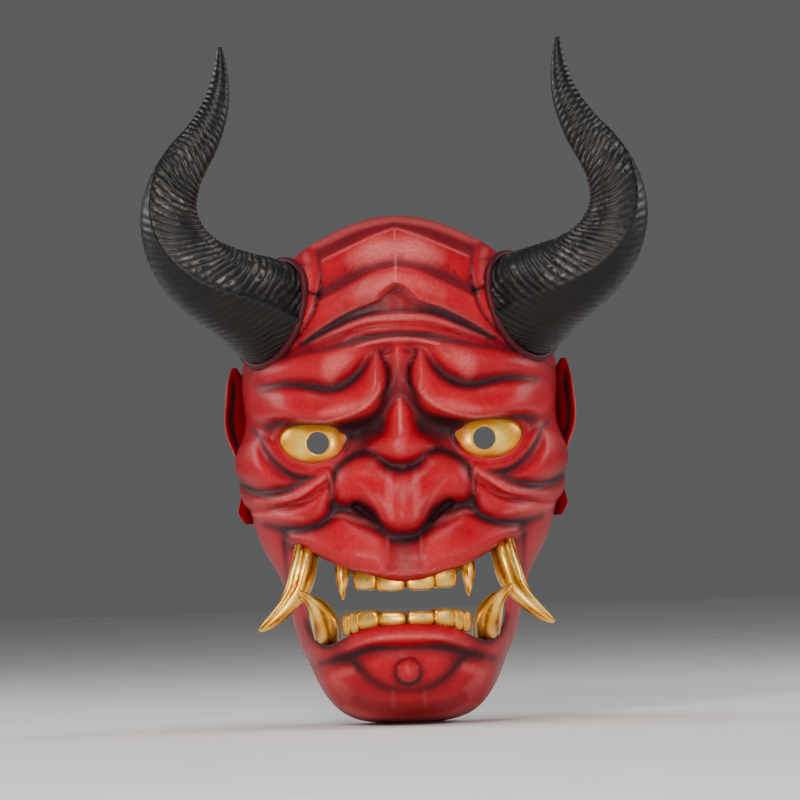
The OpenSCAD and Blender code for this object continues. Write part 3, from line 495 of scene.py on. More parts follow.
        [[0, -55, 6.6, 0.3], [0, -61, 6.6, 0.42]], [[8.6, -47, 0.8, 0.5], [8.8, -62, 0.7, 0.35]],
        [[0, -95, 1.6, 0.36], [12, -95.4, 1.8, 0.46], [20, -97, 1.4, 0.4], [30, -101, 1, 0.3]],
        [[74, -34.4, 1.6, 0.4], [62, -35, 2, 0.42], [50, -36.4, 1.8, 0.3]],
        [[44, 92, 2.4, 0.4], [42.6, 80, 2.6, 0.36], [43.4, 76.6, 2, 0.4]],
        [[28, -112, 3, 0.4], [36, -116, 4, 0.35], [30, -124, 4, 0.3]], [[0, -136.4, 3, 0.35], [20, -135, 3, 0.35],
            [31, -130.6, 3, 0.3]],
        [[58, -70, 2, 0.3], [56.6, -84, 2.2, 0.36], [52.4, -98, 2.2, 0.3]], [[8, -123, 1.6, 0.3], [8, -130, 1.4, 0.25]],
        [[61, 1.6, 0.6, 0.3], [57.6, -4.6, 0.6, 0.5], [51, -9, 0.6, 0.5], [43, -10.4, 0.6, 0.5],
         [34.6, -7.8, 0.6, 0.5]],
        [[0, 109.6, 3, 0.5], [20, 106, 3, 0.5], [40, 97.4, 3, 0.45]]],
    # short upward brush marks above the plate edges: x, z, half width, strength
    "hatch": [
        [[2, 90, 4, 0.6], [14, 88, 5, 0.75], [24, 83, 5, 0.75], [36, 77, 4.4, 0.6]],
        [[8, 105, 2, 0.3], [20, 100.4, 4, 0.7], [30, 95.4, 4.4, 0.75], [38, 91, 4, 0.6]],
        [[0, 97, 3, 0.3], [6, 96, 4, 0.35], [14, 92, 4, 0.4]]]}


def insideDistance(x, z, outline):
    # distance to a closed outline, positive inside it
    p = smoothLine(outline, 4, True)
    q = np.roll(p, -1, axis=0)
    best = np.full(x.shape, 1e9)
    inside = np.zeros(x.shape, bool)
    for (ax, az), (bx, bz) in zip(p, q):
        dx, dz = bx - ax, bz - az
        t = np.clip(((x - ax) * dx + (z - az) * dz) / max(dx * dx + dz * dz, 1e-9), 0, 1)
        best = np.minimum(best, (x - ax - t * dx) ** 2 + (z - az - t * dz) ** 2)
        if az != bz:
            inside ^= ((az > z) != (bz > z)) & (x < (bx - ax) * (z - az) / (bz - az) + ax)
    return np.where(inside, 1, -1) * np.sqrt(best)


def strokeHeight(x, z, points, power):
    # the highest of a stroke's spans, round across; negative heights make a groove
    p = smoothLine(points, 4)
    best = np.zeros(x.shape)
    for a, b in zip(p[:-1], p[1:]):
        d = b[:2] - a[:2]
        t = np.clip(((x - a[0]) * d[0] + (z - a[1]) * d[1]) / max(d @ d, 1e-9), 0, 1)
        away = np.hypot(x - a[0] - t * d[0], z - a[1] - t * d[1])
        q = np.clip(away / (a[2] + t * (b[2] - a[2])), 0, 1)
        height = (a[3] + t * (b[3] - a[3])) * (1 - q * q) ** (2 * power)
        best = np.where(np.abs(height) > np.abs(best), height, best)
    return best


def inflated(distance, width, height, power):
    t = np.clip(distance / width, 0, 1)
    return height * (1 - (1 - t) ** 2) ** power


def swelling(x, z, swells):
    return sum(height * np.exp(-((x - middleX) / wideX) ** 2 - ((z - middleZ) / wideZ) ** 2)
               for middleX, middleZ, wideX, wideZ, height in swells)


def alongX(x, points):
    line = smoothLine(points, 4)
    return np.interp(x, line[:, 0], line[:, 1])


def faceRelief(x, z):
    # how far the sculpted face stands out of the plain dome, and its broad part alone
    x = np.abs(x)
    f = faceShell
    broad = swelling(x, z, f["swells"])
    nose = insideDistance(x, z, f["nose"])
    nosePart = inflated(nose, 8.5, 9, 0.5) + swelling(x, z, f["noseTip"]) * smoothStep(-1, 6, nose)
    nosePart += inflated(insideDistance(x, z, f["noseFront"]), 9, 0.7, 0.9)
    lip = insideDistance(x, z, f["muzzle"])
    lipPart = inflated(lip, 7.5, 1, 0.55) * (6.5 + 6.5 * smoothStep(-38, -60, z))
    lipPart -= 2.2 * smoothStep(8.4, 7.2, x) * smoothStep(-47, -50, z) * smoothStep(-66, -64, z)
    jaw = insideDistance(x, z, f["lowerLip"])
    jawPart = inflated(jaw, 6, 8.5, 0.55) * smoothStep(60, 44, x)
    rolls = np.zeros(x.shape)
    for name, (outline, width, height, power) in f["rolls"].items():
        edge = insideDistance(x, z, outline)
        roll = inflated(edge, width, height, power)
        if name == "browRoll":
            roll += strokeHeight(x, z, f["browEdge"], 0.6) * smoothStep(0, 3, edge)
        if "Brow" in name or "brow" in name:
            roll *= 0.4 + 0.6 * smoothStep(78, 50, x)
        rolls = np.maximum(rolls, roll)
    rolls = np.maximum(rolls, np.maximum(nosePart, np.maximum(lipPart, jawPart)))
    rolls = softened(rolls, 8)
    rolls += 4.6 * np.sqrt(np.clip(1 - (x ** 2 + (z + 112.4) ** 2) / 5.6 ** 2, 0, 1))
    ridges = sum(strokeHeight(x, z, points, power) for points, power in f["ridges"])
    # overlapping plates on the forehead, proud at their upper edges
    top, mid, foot = (alongX(x, f[k]) for k in ("plateTop", "plateMid", "plateFoot"))
    plates = 2.6 * smoothStep(0.5, -0.7, z - top) * np.exp(np.clip(z - top, -60, 0) / 14)
    plates += 2.4 * smoothStep(0.5, -0.9, z - mid) * np.exp(np.clip(z - mid, -60, 0) / 12)
    plates *= smoothStep(-1.8, 0.8, z - foot)
    plates += 1.3 * smoothStep(-1.8, 1.4, z - foot) * smoothStep(118, 70, z)
    crest = 3.4 * np.clip(1 - x / 26, 0, 1) * smoothStep(-0.8, 1.5, z - foot) * smoothStep(112, 100, z)
    collar = insideDistance(x, z, f["collar"])
    plates = (plates + crest) * smoothStep(1.5, -1.5, collar)
    relief = broad + rolls + ridges + plates
    return relief, broad, collar


def aroundOutline(values, angle):
    v = np.array(values, float)
    last = len(v) - 1
    f = np.abs(angle) / 15
    i = np.minimum(np.floor(f).astype(int), last - 1)
    t = f - i
    at = lambda k: v[np.where(k < 0, -k, np.where(k > last, 2 * last - k, k))]
    p, q, r, s = at(i - 1), at(i), at(i + 1), at(i + 2)
    return 0.5 * (2 * q + (r - p) * t + (2 * p - 5 * q + 4 * r - s) * t * t + (3 * q - p - 3 * r + s) * t ** 3)


def domeSheet(columns, rows):
    f = faceShell
    a, b = np.meshgrid(np.linspace(-1, 1, columns + 1), np.linspace(-1, 1, rows + 1))
    a, b = a * (0.86 + 0.14 * a * a), b * (0.86 + 0.14 * b * b)
    u, v = a * np.sqrt(1 - b * b / 2), b * np.sqrt(1 - a * a / 2)
    r = np.minimum(1, np.hypot(u, v))
    angle = np.degrees(np.arctan2(u, v))
    reach = np.sin(np.radians(90 * r))
    radius, full = aroundOutline(f["radii"], angle), aroundOutline(f["fullness"], angle)
    drop = np.maximum(0, 1 - reach ** full) ** f["roundPower"]
    turn = np.radians(angle)
    place = np.stack([reach * radius * np.sin(turn), -f["domeDepth"] * drop,
                      f["centreHeight"] + reach * radius * np.cos(turn)], -1)
    side = full * reach ** (full - 1) / radius
    front = drop ** (1 / f["roundPower"] - 1) / (f["roundPower"] * f["domeDepth"])
    out = np.stack([side * np.sin(turn), -front, side * np.cos(turn)], -1)
    out /= np.linalg.norm(out, axis=-1, keepdims=True)
    return place, out, reach, angle


def softened(grid, passes):
    for _ in range(passes):
        g = np.pad(grid, 1, mode="edge")
        grid = (g[1:-1, 1:-1] * 4 + (g[:-2, 1:-1] + g[2:, 1:-1] + g[1:-1, :-2] + g[1:-1, 2:]) * 2
                + g[:-2, :-2] + g[:-2, 2:] + g[2:, :-2] + g[2:, 2:]) / 16
    return grid


hornSeat = {"centre": (64, -43, 65.5), "axis": (0.784, -0.537, 0.312), "radius": 26.5,
            # rim bead: radius and height along the axis
            "profile": [[20, -7], [26, -7], [28.2, -4.6], [29.2, -2.8], [28.8, -1.2], [27.8, -0.4], [26.8, -0.5],
                        [26.2, -1.6], [26, -3.4], [20, -3.4]]}


def closedSheet(name, sheet, backY, materials, slot):
    rows, columns = sheet.shape[0] - 1, sheet.shape[1] - 1
    sheet = sheet.copy()
    sheet[0, :, 1] = sheet[-1, :, 1] = sheet[:, 0, 1] = sheet[:, -1, 1] = backY
    index = np.arange((rows + 1) * (columns + 1)).reshape(rows + 1, columns + 1)
    quads = np.stack([index[:-1, :-1], index[:-1, 1:], index[1:, 1:], index[1:, :-1]], -1).reshape(-1, 4)
    rim = list(index[0, :-1]) + list(index[:-1, -1]) + list(index[-1, :0:-1]) + list(index[:0:-1, 0])
    centre = index.size
    fan = [[rim[(k + 1) % len(rim)], rim[k], centre] for k in range(len(rim))]
    points = np.vstack([sheet.reshape(-1, 3), [[0, backY, faceShell["centreHeight"]]]])
    piece = meshPiece(name, points, quads.tolist() + fan)
    for material in materials:
        piece.data.materials.append(material)
    for polygon in piece.data.polygons:
        polygon.material_index = slot
    return piece


def prism(name, outline, y0, y1, materials, slot):
    # closed body with the outline's shape in x and z
    p = smoothLine(outline, 5, True)
    n = len(p)
    area = sum(p[i][0] * p[(i + 1) % n][1] - p[(i + 1) % n][0] * p[i][1] for i in range(n))
    p = p if area > 0 else p[::-1]
    points = [[x, y0, z] for x, z in p] + [[x, y1, z] for x, z in p]
    faces = [list(range(n)), list(range(2 * n - 1, n - 1, -1))]
    faces += [[i, n + i, n + (i + 1) % n, (i + 1) % n] for i in range(n)]
    piece = meshPiece(name, points, faces)
    for material in materials:
        piece.data.materials.append(material)
    for polygon in piece.data.polygons:
        polygon.material_index = slot
    return piece


def seatFrame(side=1):
    n = np.array(hornSeat["axis"]) * (side, 1, 1)
    n = n / np.linalg.norm(n)
    e = np.cross(n, (0, 1, 0.2))
    e /= np.linalg.norm(e)
    return np.array(hornSeat["centre"]) * (side, 1, 1), n, e, np.cross(n, e)


def revolved(profile, side, sides=96):
    # a closed ring: profile points are radius and height along the horn seat's axis
    c, n, e, g = seatFrame(side)
    points, faces = [], []
    m = len(profile)
    for k in range(sides):
        t = 2 * math.pi * k / sides
        for r, h in profile:
            points.append(c + n * h + r * (math.cos(t) * e + math.sin(t) * g))
    for k in range(sides):
        for i in range(m):
            a, b = k * m + i, k * m + (i + 1) % m
            c2, d = ((k + 1) % sides) * m + (i + 1) % m, ((k + 1) % sides) * m + i
            faces.append([a, b, c2, d])
    return np.array(points), faces


def outward(piece):
    # turns a closed piece's faces outwards by the sign of its volume
    mesh = piece.data
    work = bmesh.new()
    work.from_mesh(mesh)
    bmesh.ops.recalc_face_normals(work, faces=work.faces)
    work.to_mesh(mesh)
    work.free()
    mesh.calc_loop_triangles()
    v = np.zeros(len(mesh.vertices) * 3)
    mesh.vertices.foreach_get("co", v)
    v = v.reshape(-1, 3)
    t = np.array([tri.vertices[:] for tri in mesh.loop_triangles])
    volume = np.einsum("ij,ij->i", v[t[:, 0]], np.cross(v[t[:, 1]], v[t[:, 2]])).sum()
    if volume < 0:
        mesh.flip_normals()
    return piece


ear = {  # stations down the ear: rim x, y, z, then root x, y behind it
    "rim": [[83, -10, 38.5], [85.6, -14, 31], [86.8, -17, 21], [87.4, -18, 12], [86.4, -17, 4], [83.6, -15.5, -4],
            [80.6, -15, -12], [79.6, -15.5, -20], [80.6, -16, -28], [81.4, -15, -34], [78, -12, -39.6]],
    "depth": [3, 12, 17, 19, 18, 14, 11, 10, 9, 8, 4], "thick": [1, 2.2, 3, 3.6, 3.4, 2.8, 2.6, 3, 3.8, 4, 2.4]}


def earMesh(side):
    # a long pointed leaf along the temple, hollowed on its front
    stations = np.array([r + [d, t] for r, d, t in zip(ear["rim"], ear["depth"], ear["thick"])], float)
    line = smoothLine(stations, 6)
    around = 28
    points, washesAndShade, faces = [], [], []
    for x, y, z, depth, thick in line:
        for k in range(around):
            t = 2 * math.pi * k / around
            # rounded bar from the rim back and inwards, with a hollow in its front face
            along = 0.5 - 0.5 * math.cos(t)
            over = math.sin(t) * thick * (0.9 + 0.5 * math.sin(math.pi * along))
            hollow = 3.2 * math.exp(-((along - 0.42) / 0.2) ** 2) if math.sin(t) > 0 else 0
            hollow *= min(1, max(0, (depth - 6) / 8))
            raised = over - hollow
            px = x - along * 11 * min(1, depth / 15) + 0.35 * raised + 0.6 * math.sin(math.pi * along)
            py = y + along * depth * 0.9 - raised
            points.append([side * px, py, z])
            # painted shade in the front hollow and over the back half towards the head, and a painted highlight along
            # the front rim
            washesAndShade.append([min(1, 0.04 + 0.34 * hollow + 0.5 * smoothStep(0.5, 1, along)),
                           0.75 * smoothStep(0.2, 0.04, along), 0, 1])
    n = len(line)
    for i in range(n - 1):
        for k in range(around):
            a, b = i * around + k, i * around + (k + 1) % around
            faces.append([a, b, b + around, a + around])
    faces.append(list(range(around)))
    faces.append(list(range((n - 1) * around, n * around))[::-1])
    return np.array(points), faces, washesAndShade


def taper(points, radii, sides, section=None, up=(0, 1, 0.2)):
    # rings along a curved, tapering body: section gives a radius factor for turn and length
    p = np.array(points, float)
    d = np.gradient(p, axis=0)
    d /= np.linalg.norm(d, axis=1, keepdims=True)
    e = np.cross(d, up)
    e /= np.linalg.norm(e, axis=1, keepdims=True)
    g = np.cross(d, e)
    n = len(p)
    u = np.linspace(0, 1, n)[:, None] * np.ones((1, sides))
    turn = (np.arange(sides) / sides * 2 * math.pi)[None, :] * np.ones((n, 1))
    scale = section(turn, u) if section else np.ones((n, sides))
    r = np.array(radii)[:, None] * scale
    rings = p[:, None] + r[..., None] * (np.cos(turn)[..., None] * e[:, None] + np.sin(turn)[..., None] * g[:, None])
    faces = []
    for i in range(n - 1):
        for k in range(sides):
            a, b = i * sides + k, i * sides + (k + 1) % sides
            faces.append([a, b, b + sides, a + sides])
    points = rings.reshape(-1, 3)
    points = np.vstack([points, [p[0]], [p[-1]]])
    first, last = n * sides, n * sides + 1
    faces += [[(k + 1) % sides, k, first] for k in range(sides)]
    faces += [[(n - 1) * sides + k, (n - 1) * sides + (k + 1) % sides, last] for k in range(sides)]
    return points, faces, turn, u


def mirrored(points):
    return np.asarray(points) * (-1, 1, 1)


tusks = {
    "upper": {"run": [[47, -53, -46, 10], [48, -58.5, -52, 12], [49, -63, -58, 13], [50.5, -66.5, -64.5, 13],
                      [53, -69, -71.5, 11.8], [57.5, -71, -78, 9.6], [63, -72.5, -84, 7.2], [69, -73.5, -89, 4.6],
                      [72.5, -74, -91.3, 1.8]]},
    "lower": {"run": [[38.6, -48, -99, 11], [39, -54.6, -95, 13.2], [39.6, -61, -90.5, 14], [41.2, -67, -85.5, 12.2],
                      [44, -71.5, -80.5, 9], [47.6, -75, -76.6, 5.2], [50.6, -77.5, -73.8, 3.2],
                      [52.8, -79, -72, 1.2]]},
    "fang": {"run": [[31, -69, -58, 6.2], [31, -70, -62, 6.8], [31, -70.8, -66, 6.4], [31, -71.2, -70.5, 5],
                     [31, -71.2, -74.5, 3], [31, -71, -77.4, 1]]}}
print("face outlines ready")


def outerSheet(columns, rows):
    # the sculpted front with its paint: red channel painted shade with airbrushed wash, green pale brushing with
    # painted highlights, blue brush marks
    place, out, reach, angle = domeSheet(columns, rows)
    x, z = place[..., 0].copy(), place[..., 2].copy()
    relief, broad, collar = faceRelief(x, z)
    fade = np.clip(-place[..., 1] / 22, 0, 1)
    rim = smoothStep(1.0, 0.8, reach)
    fade = fade * (0.35 + 0.65 * rim)
    relief = relief + inflated(collar, 3.6, 4.2, 0.5) * smoothStep(0.3, 0.8, fade + 0.3)
    relief = relief + 0.14 * grainNoise(x, z, 3, 3.4) + 0.3 * grainNoise(x, z, 5, 11)
    turn = smoothStep(0.9, 1.0, reach)[..., None]
    way = np.array([0, -1, 0]) * (1 - turn) + out * turn
    height = relief * fade
    sheet = place + way * height[..., None]
    # overhangs: what stands far out also hangs down a little
    fine = height - softened(height, 240)
    sheet[..., 2] -= np.clip(fine, 0, 12) * 0.16 * (1 - turn[..., 0])
    # painted shade in the hollows of the relief, partly standing for the real airbrushed wash, and pale on its raised
    # parts that is partly dry-brushing and partly a painted highlight
    spread1, spread2, spread3 = softened(height, 6), softened(height, 40), softened(height, 160)
    hollow = np.clip((spread2 - spread1) / 2.2, 0, 1) * 0.5 + np.clip((softened(height, 2) - height) / 0.25, 0, 1) * 0.2
    hollow = 1 - (1 - hollow) * (1 - 0.55 * np.clip((spread3 - spread1 - 0.4) / 4, 0, 1))
    raised = np.clip((height - softened(height, 14)) / 0.9, 0, 1)
    ax = np.abs(x)
    shadow, light, hatch = np.zeros(x.shape), np.zeros(x.shape), np.zeros(x.shape)
    for marks, kind in ((faceShell["shadow"], "shadow"), (faceShell["light"], "light"), (faceShell["hatch"], "hatch")):
        for points in marks:
            s = strokeHeight(ax, z, points, 0.8)
            if kind == "shadow":
                wide = [[p[0], p[1], p[2] * 2.3 + 1, p[3] * 0.32] for p in points]
                shadow = 1 - (1 - shadow) * (1 - s) * (1 - strokeHeight(ax, z, wide, 0.8))
            elif kind == "light":
                light = np.maximum(light, s)
            else:
                hatch = np.maximum(hatch, s)
    # the red channel joins the painted shade of the strokes and hollows with a darkening towards the rim; the green
    # channel holds pale brushing and painted highlights, held back where the shade lies
    rimDark = smoothStep(0.9, 1.0, reach) * 0.35
    washAndShade = np.clip(1.12 * (1 - (1 - shadow) * (1 - hollow) * (1 - rimDark)), 0, 1)
    paleAndHighlight = np.clip(light * (1 - 0.6 * washAndShade) + raised * 0.12 * (1 - washAndShade), 0, 1)
    return sheet, np.stack([washAndShade, paleAndHighlight, hatch, np.ones(x.shape)], -1)


def paintFrom(piece, points, values, reach=3.0, default=(0.8, 0, 0, 1)):
    # copies paint values from the nearest sculpted point on to each vertex
    tree = KDTree(len(points))
    for i, p in enumerate(points):
        tree.insert(p, i)
    tree.balance()
    layer = piece.data.color_attributes.new("paint", "FLOAT_COLOR", "POINT")
    colours = np.empty((len(piece.data.vertices), 4))
    for i, v in enumerate(piece.data.vertices):
        _, k, away = tree.find(v.co)
        colours[i] = values[k] if away < reach * mm else default
    layer.data.foreach_set("color", colours.ravel())
    return layer


def paintPoints(piece, values, name="paint"):
    layer = piece.data.color_attributes.new(name, "FLOAT_COLOR", "POINT")
    layer.data.foreach_set("color", np.asarray(values, float).ravel())


def sharpEdges(piece, degrees):
    piece.data.set_sharp_from_angle(angle=math.radians(degrees))


def buildFaceShell():
    f = faceShell
    sheet, paint = outerSheet(f["columns"], f["rows"])
    both = [redLacquer, mattBlackInside]
    outer = closedSheet("faceShell", sheet, 0, both, 0)
    place, out, reach, angle = domeSheet(90, 100)
    relief, broad, collar = faceRelief(place[..., 0], place[..., 2])
    fade = np.clip(-place[..., 1] / 22, 0, 1)
    deepest = relief
    for _ in range(5):
        g = np.pad(deepest, 1, mode="edge")
        deepest = np.minimum.reduce([g[i:i + deepest.shape[0],
                                       j:j + deepest.shape[1]] for i in range(3) for j in range(3)])
    back = np.minimum(softened(relief, 12) * 0.65, softened(deepest, 1))
    inner = place + np.array([0, -1, 0]) * (back * fade)[..., None] - out * f["wall"]
    inner[..., 1] = np.minimum(inner[..., 1], 0.5)
    cavity = closedSheet("shellCavity", inner, 4, both, 1)
    outward(outer)
    outward(cavity)
    ears, beads = [], []
    for side in (1, -1):
        points, faces, washAndShade = earMesh(side)
        one = outward(meshPiece("ear", points, faces, redLacquer))
        one.data.materials.append(mattBlackInside)
        ears.append((points, washAndShade))
        boolean(outer, one, "UNION")
        ring, rims = revolved(hornSeat["profile"], side)
        collarPiece = outward(meshPiece("collar", ring, rims, redLacquer))
        collarPiece.data.materials.append(mattBlackInside)
        beads += [Vector(p) for p in ring * mm]
        boolean(outer, collarPiece, "UNION")
    boolean(outer, cavity, "DIFFERENCE")
    for side in (1, -1):
        eye = [[side * p[0], p[1]] for p in f["eyeGap"]]
        boolean(outer, outward(prism("eyeCut", eye, -95, 5, both, 0)), "DIFFERENCE")
    boolean(outer, outward(prism("mouthCut", f["mouthGap"], -110, 5, both, 0)), "DIFFERENCE")
    print("face shell cut", len(outer.data.vertices))
    tops, values = [Vector(p) for p in sheet.reshape(-1, 3) * mm], paint.reshape(-1, 4)
    extraPoints, extraValues = [], []
    for points, washAndShade in ears:
        extraPoints += [Vector(p) for p in points * mm]
        extraValues += washAndShade
    extraPoints += beads
    extraValues += [[0.92, 0, 0, 1]] * len(beads)
    # points far from any sculpted point, such as the cut walls of the openings, take half-strength painted shade
    paintFrom(outer, tops + extraPoints, list(values) + extraValues, 2.2, (0.5, 0, 0, 1))
    sharpEdges(outer, 55)
    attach(outer, "mask")
    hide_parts("face_shell")
    return outer


buildFaceShell()
print("face shell ready")


# horns: a tapered sweep, ribbed across by a geometry tree

horn = {"run": [[60, -40, 63, 52.5], [64, -43, 65.5, 52.5], [71.5, -49, 70, 49], [79, -54, 74, 44.5],
                [88, -58.5, 79, 41],
                [97.5, -61.5, 86, 37.5], [105.5, -63, 96, 33.5], [110, -63.5, 107.5, 30], [110.5, -63, 119, 27],
                [107, -61.5, 131, 24.5], [101.5, -59.5, 140, 21.5], [95, -57, 149, 18.5], [90, -54.5, 158, 15.5],
                [86, -52, 168, 12.3], [84, -49.5, 178, 9], [83.3, -47.5, 188, 5.6], [83.6, -46, 197, 2.2]],
        "rings": 330, "sides": 150, "ribSpacing": 3.2, "ribHeight": 0.95, "keelHeight": 2.6, "keelTurn": 8,
        "keelTwist": 0.0065,
        "wobble": 0.5, "seed": 7}


def hornSweep(side):
    p = np.array(horn["run"], float)
    line = smoothLine(p, 24)
    step = np.r_[0, np.cumsum(np.linalg.norm(np.diff(line[:, :3], axis=0), axis=1))]
    at = np.linspace(0, step[-1], horn["rings"])
    line = np.stack([np.interp(at, step, line[:, i]) for i in range(4)], -1)
    d = np.gradient(line[:, :3], axis=0)
    d /= np.linalg.norm(d, axis=1, keepdims=True)
    front = np.array([0, -1.0, 0]) - d * (d @ np.array([0, -1.0, 0]))[:, None]
    front /= np.linalg.norm(front, axis=1, keepdims=True)
    upward = np.cross(front, d)
    sides = horn["sides"]
    turn = np.arange(sides) / sides * 2 * math.pi
    rings = line[:, None, :3] + (line[:, 3] / 2)[:, None, None] * (
        np.cos(turn)[None, :, None] * front[:, None] + np.sin(turn)[None, :, None] * upward[:, None])
    n = len(line)
    index = np.arange(n * sides).reshape(n, sides)
    nextIndex = np.roll(index, -1, axis=1)
    faces = np.stack([index[:-1], nextIndex[:-1], nextIndex[1:], index[1:]], -1).reshape(-1, 4).tolist()
    faces += [index[0, ::-1].tolist(), index[-1].tolist()]
    points = rings.reshape(-1, 3)
    if side < 0:
        points = mirrored(points)
        faces = [fc[::-1] for fc in faces]
    piece = outward(meshPiece("hornLeft" if side < 0 else "hornRight", points, faces, dryBrushedBlack))
    for name, values in (("along", np.repeat(at, sides)), ("around", np.tile(turn, n)),
                         ("wide", np.repeat(line[:, 3] / 2, sides))):
        piece.data.attributes.new(name, "FLOAT", "POINT").data.foreach_set("value", values.astype(float))
    return piece


def geometryTree(name, sizes):
    tree = bpy.data.node_groups.new(name, "GeometryNodeTree")
    tree.interface.new_socket("Geometry", in_out="INPUT", socket_type="NodeSocketGeometry")
    keys = {}
    for label, (kind, value) in sizes.items():
        socket = tree.interface.new_socket(label, in_out="INPUT", socket_type=kind)
        if value is not None:
            socket.default_value = value
        keys[label] = socket.identifier
    tree.interface.new_socket("Geometry", in_out="OUTPUT", socket_type="NodeSocketGeometry")
    start, end = tree.nodes.new("NodeGroupInput"), tree.nodes.new("NodeGroupOutput")
    return tree, start, end, keys


def ribTree(material):
    # ribs run across the upper face between the keel and the inner side, and fade out round the back
    tree, start, end, keys = geometryTree("hornRibs", {
        "Rib spacing": ("NodeSocketFloat", horn["ribSpacing"]), "Rib height": ("NodeSocketFloat", horn["ribHeight"]),
        "Keel height": ("NodeSocketFloat", horn["keelHeight"]),
        "Keel turn": ("NodeSocketFloat", math.radians(horn["keelTurn"])),
        "Keel twist": ("NodeSocketFloat", math.radians(horn["keelTwist"])),
        "Wobble": ("NodeSocketFloat", horn["wobble"]), "Seed": ("NodeSocketInt", horn["seed"])})
    node = {socket.name: socket for socket in start.outputs}
    for label in ("along", "around", "wide"):
        node[label] = addNode(tree, "GeometryNodeInputNamedAttribute", {"Name": label}, data_type="FLOAT")
    place = addNode(tree, "GeometryNodeInputPosition")
    for label, step, scale, detail in (("slow", 1.7, 45.0, 1.0), ("fine", 2.3, 420.0, 3.0)):
        turn = addNode(tree, "ShaderNodeMath", {0: node["Seed"], 1: step}, operation="MULTIPLY")
        links = {"Vector": place, "W": turn, "Scale": scale, "Detail": detail}
        node[label] = addNode(tree, "ShaderNodeTexNoise", links, noise_dimensions="4D")
    # each step is a name, what it does, and its inputs: names of earlier steps or numbers
    steps = [
        # ribs lean forwards from the keel towards the inner side
        ("sine", "SINE", "around"),
        ("lean", "MULTIPLY", "wide", 0.42),
        ("lean", "MULTIPLY", "sine", "lean"),
        ("leaning", "ADD", "along", "lean"),
        ("drift", "SUBTRACT", "slow", 0.5),
        ("wander", "MULTIPLY", "drift", 7.0),
        ("shifted", "ADD", "leaning", "wander"),
        ("phase", "DIVIDE", "shifted", "Rib spacing"),
        ("saw", "FRACT", "phase"),
        ("saw", "MULTIPLY", "saw", 2.0),
        ("saw", "SUBTRACT", "saw", 1.0),
        ("saw", "ABSOLUTE", "saw"),
        ("peak", "SUBTRACT", 1.0, "saw"),
        ("ridge", "POWER", "peak", 0.8),
        # the keel winds from the front at the root to the outer side at the tip; the upper face starts at it
        ("squared", "MULTIPLY", "along", "along"),
        ("twist", "MULTIPLY", "Keel twist", "squared"),
        ("keelAt", "SUBTRACT", "Keel turn", "twist"),
        ("keelAt", "MAXIMUM", "keelAt", -1.35),
        ("beyond", "SUBTRACT", "around", "keelAt"),
        ("beyond", "WRAP", "beyond", math.pi, -math.pi),
        ("begin", "SMOOTHSTEP", "beyond", 0.02, 0.2),
        ("finish", "SMOOTHSTEP", "beyond", 2.9, 2.2),
        ("upper", "MULTIPLY", "begin", "finish"),
        ("patch", "MULTIPLY", "fine", 1.1),
        ("patch", "ADD", 0.45, "patch"),
        ("slim", "MULTIPLY", "wide", 0.08),
        ("slim", "MINIMUM", "slim", 1.0),
        ("strength", "MULTIPLY", "upper", "patch"),
        ("strength", "MULTIPLY", "strength", "slim"),
        # the lower face keeps only a trace of them
        ("lower", "SUBTRACT", 1.0, "upper"),
        ("trace", "MULTIPLY", "fine", 0.4),
        ("trace", "ADD", 0.14, "trace"),
        ("faint", "MULTIPLY", "lower", "trace"),
        ("rib", "ADD", "strength", "faint"),
        ("centred", "SUBTRACT", "ridge", 0.5),
        ("rib", "MULTIPLY", "rib", "centred"),
        ("rib", "MULTIPLY", "rib", "Rib height"),
        ("away", "DIVIDE", "beyond", 0.34),
        ("away", "ABSOLUTE", "away"),
        ("away", "MULTIPLY", "away", -1.5),
        ("keel", "EXPONENT", "away"),
        ("keel", "MULTIPLY", "keel", "Keel height"),
        ("thinned", "MULTIPLY", "wide", 0.055),
        ("thinned", "MINIMUM", "thinned", 1.0),
        ("keel", "MULTIPLY", "keel", "thinned"),
        ("lumps", "MULTIPLY", "wide", 0.1),
        ("lumps", "MULTIPLY", "Wobble", "lumps"),
        ("lumps", "MULTIPLY", "drift", "lumps"),
        ("height", "ADD", "rib", "keel"),
        ("height", "ADD", "height", "lumps"),
        ("height", "MULTIPLY", "height", mm),
        # the dry brush, whose grey is partly a painted highlight, finds the rib tops by this
        ("touched", "MULTIPLY", "faint", 0.9),
        ("touched", "ADD", "strength", "touched"),
        ("touched", "MULTIPLY", "ridge", "touched"),
    ]
    for name, operation, *inputs in steps:
        kind, setting = ("ShaderNodeMath", "operation")
        if operation == "SMOOTHSTEP":
            kind, setting = ("ShaderNodeMapRange", "interpolation_type")
        links = {i: node.get(value, value) for i, value in enumerate(inputs)}
        node[name] = addNode(tree, kind, links, **{setting: operation})
    node["touched"].use_clamp = True
    normal = addNode(tree, "GeometryNodeInputNormal").outputs[0]
    push = addNode(tree, "ShaderNodeVectorMath", {0: normal, "Scale": node["height"]}, operation="SCALE")
    moved = addNode(tree, "GeometryNodeSetPosition", {"Geometry": node["Geometry"], "Offset": push})
    # the attribute holds the rib tops in red and the upper face in green
    colour = addNode(tree, "FunctionNodeCombineColor", {0: node["touched"], 1: node["upper"]})
    kept = addNode(tree, "GeometryNodeStoreNamedAttribute", {"Geometry": moved, "Name": "grain", "Value": colour},
                   data_type="FLOAT_COLOR", domain="POINT")
    real = addNode(tree, "GeometryNodeRealizeInstances", {"Geometry": kept})
    done = addNode(tree, "GeometryNodeSetMaterial", {"Geometry": real, "Material": material})
    linkUp(tree, end, {0: done})
    return tree, keys


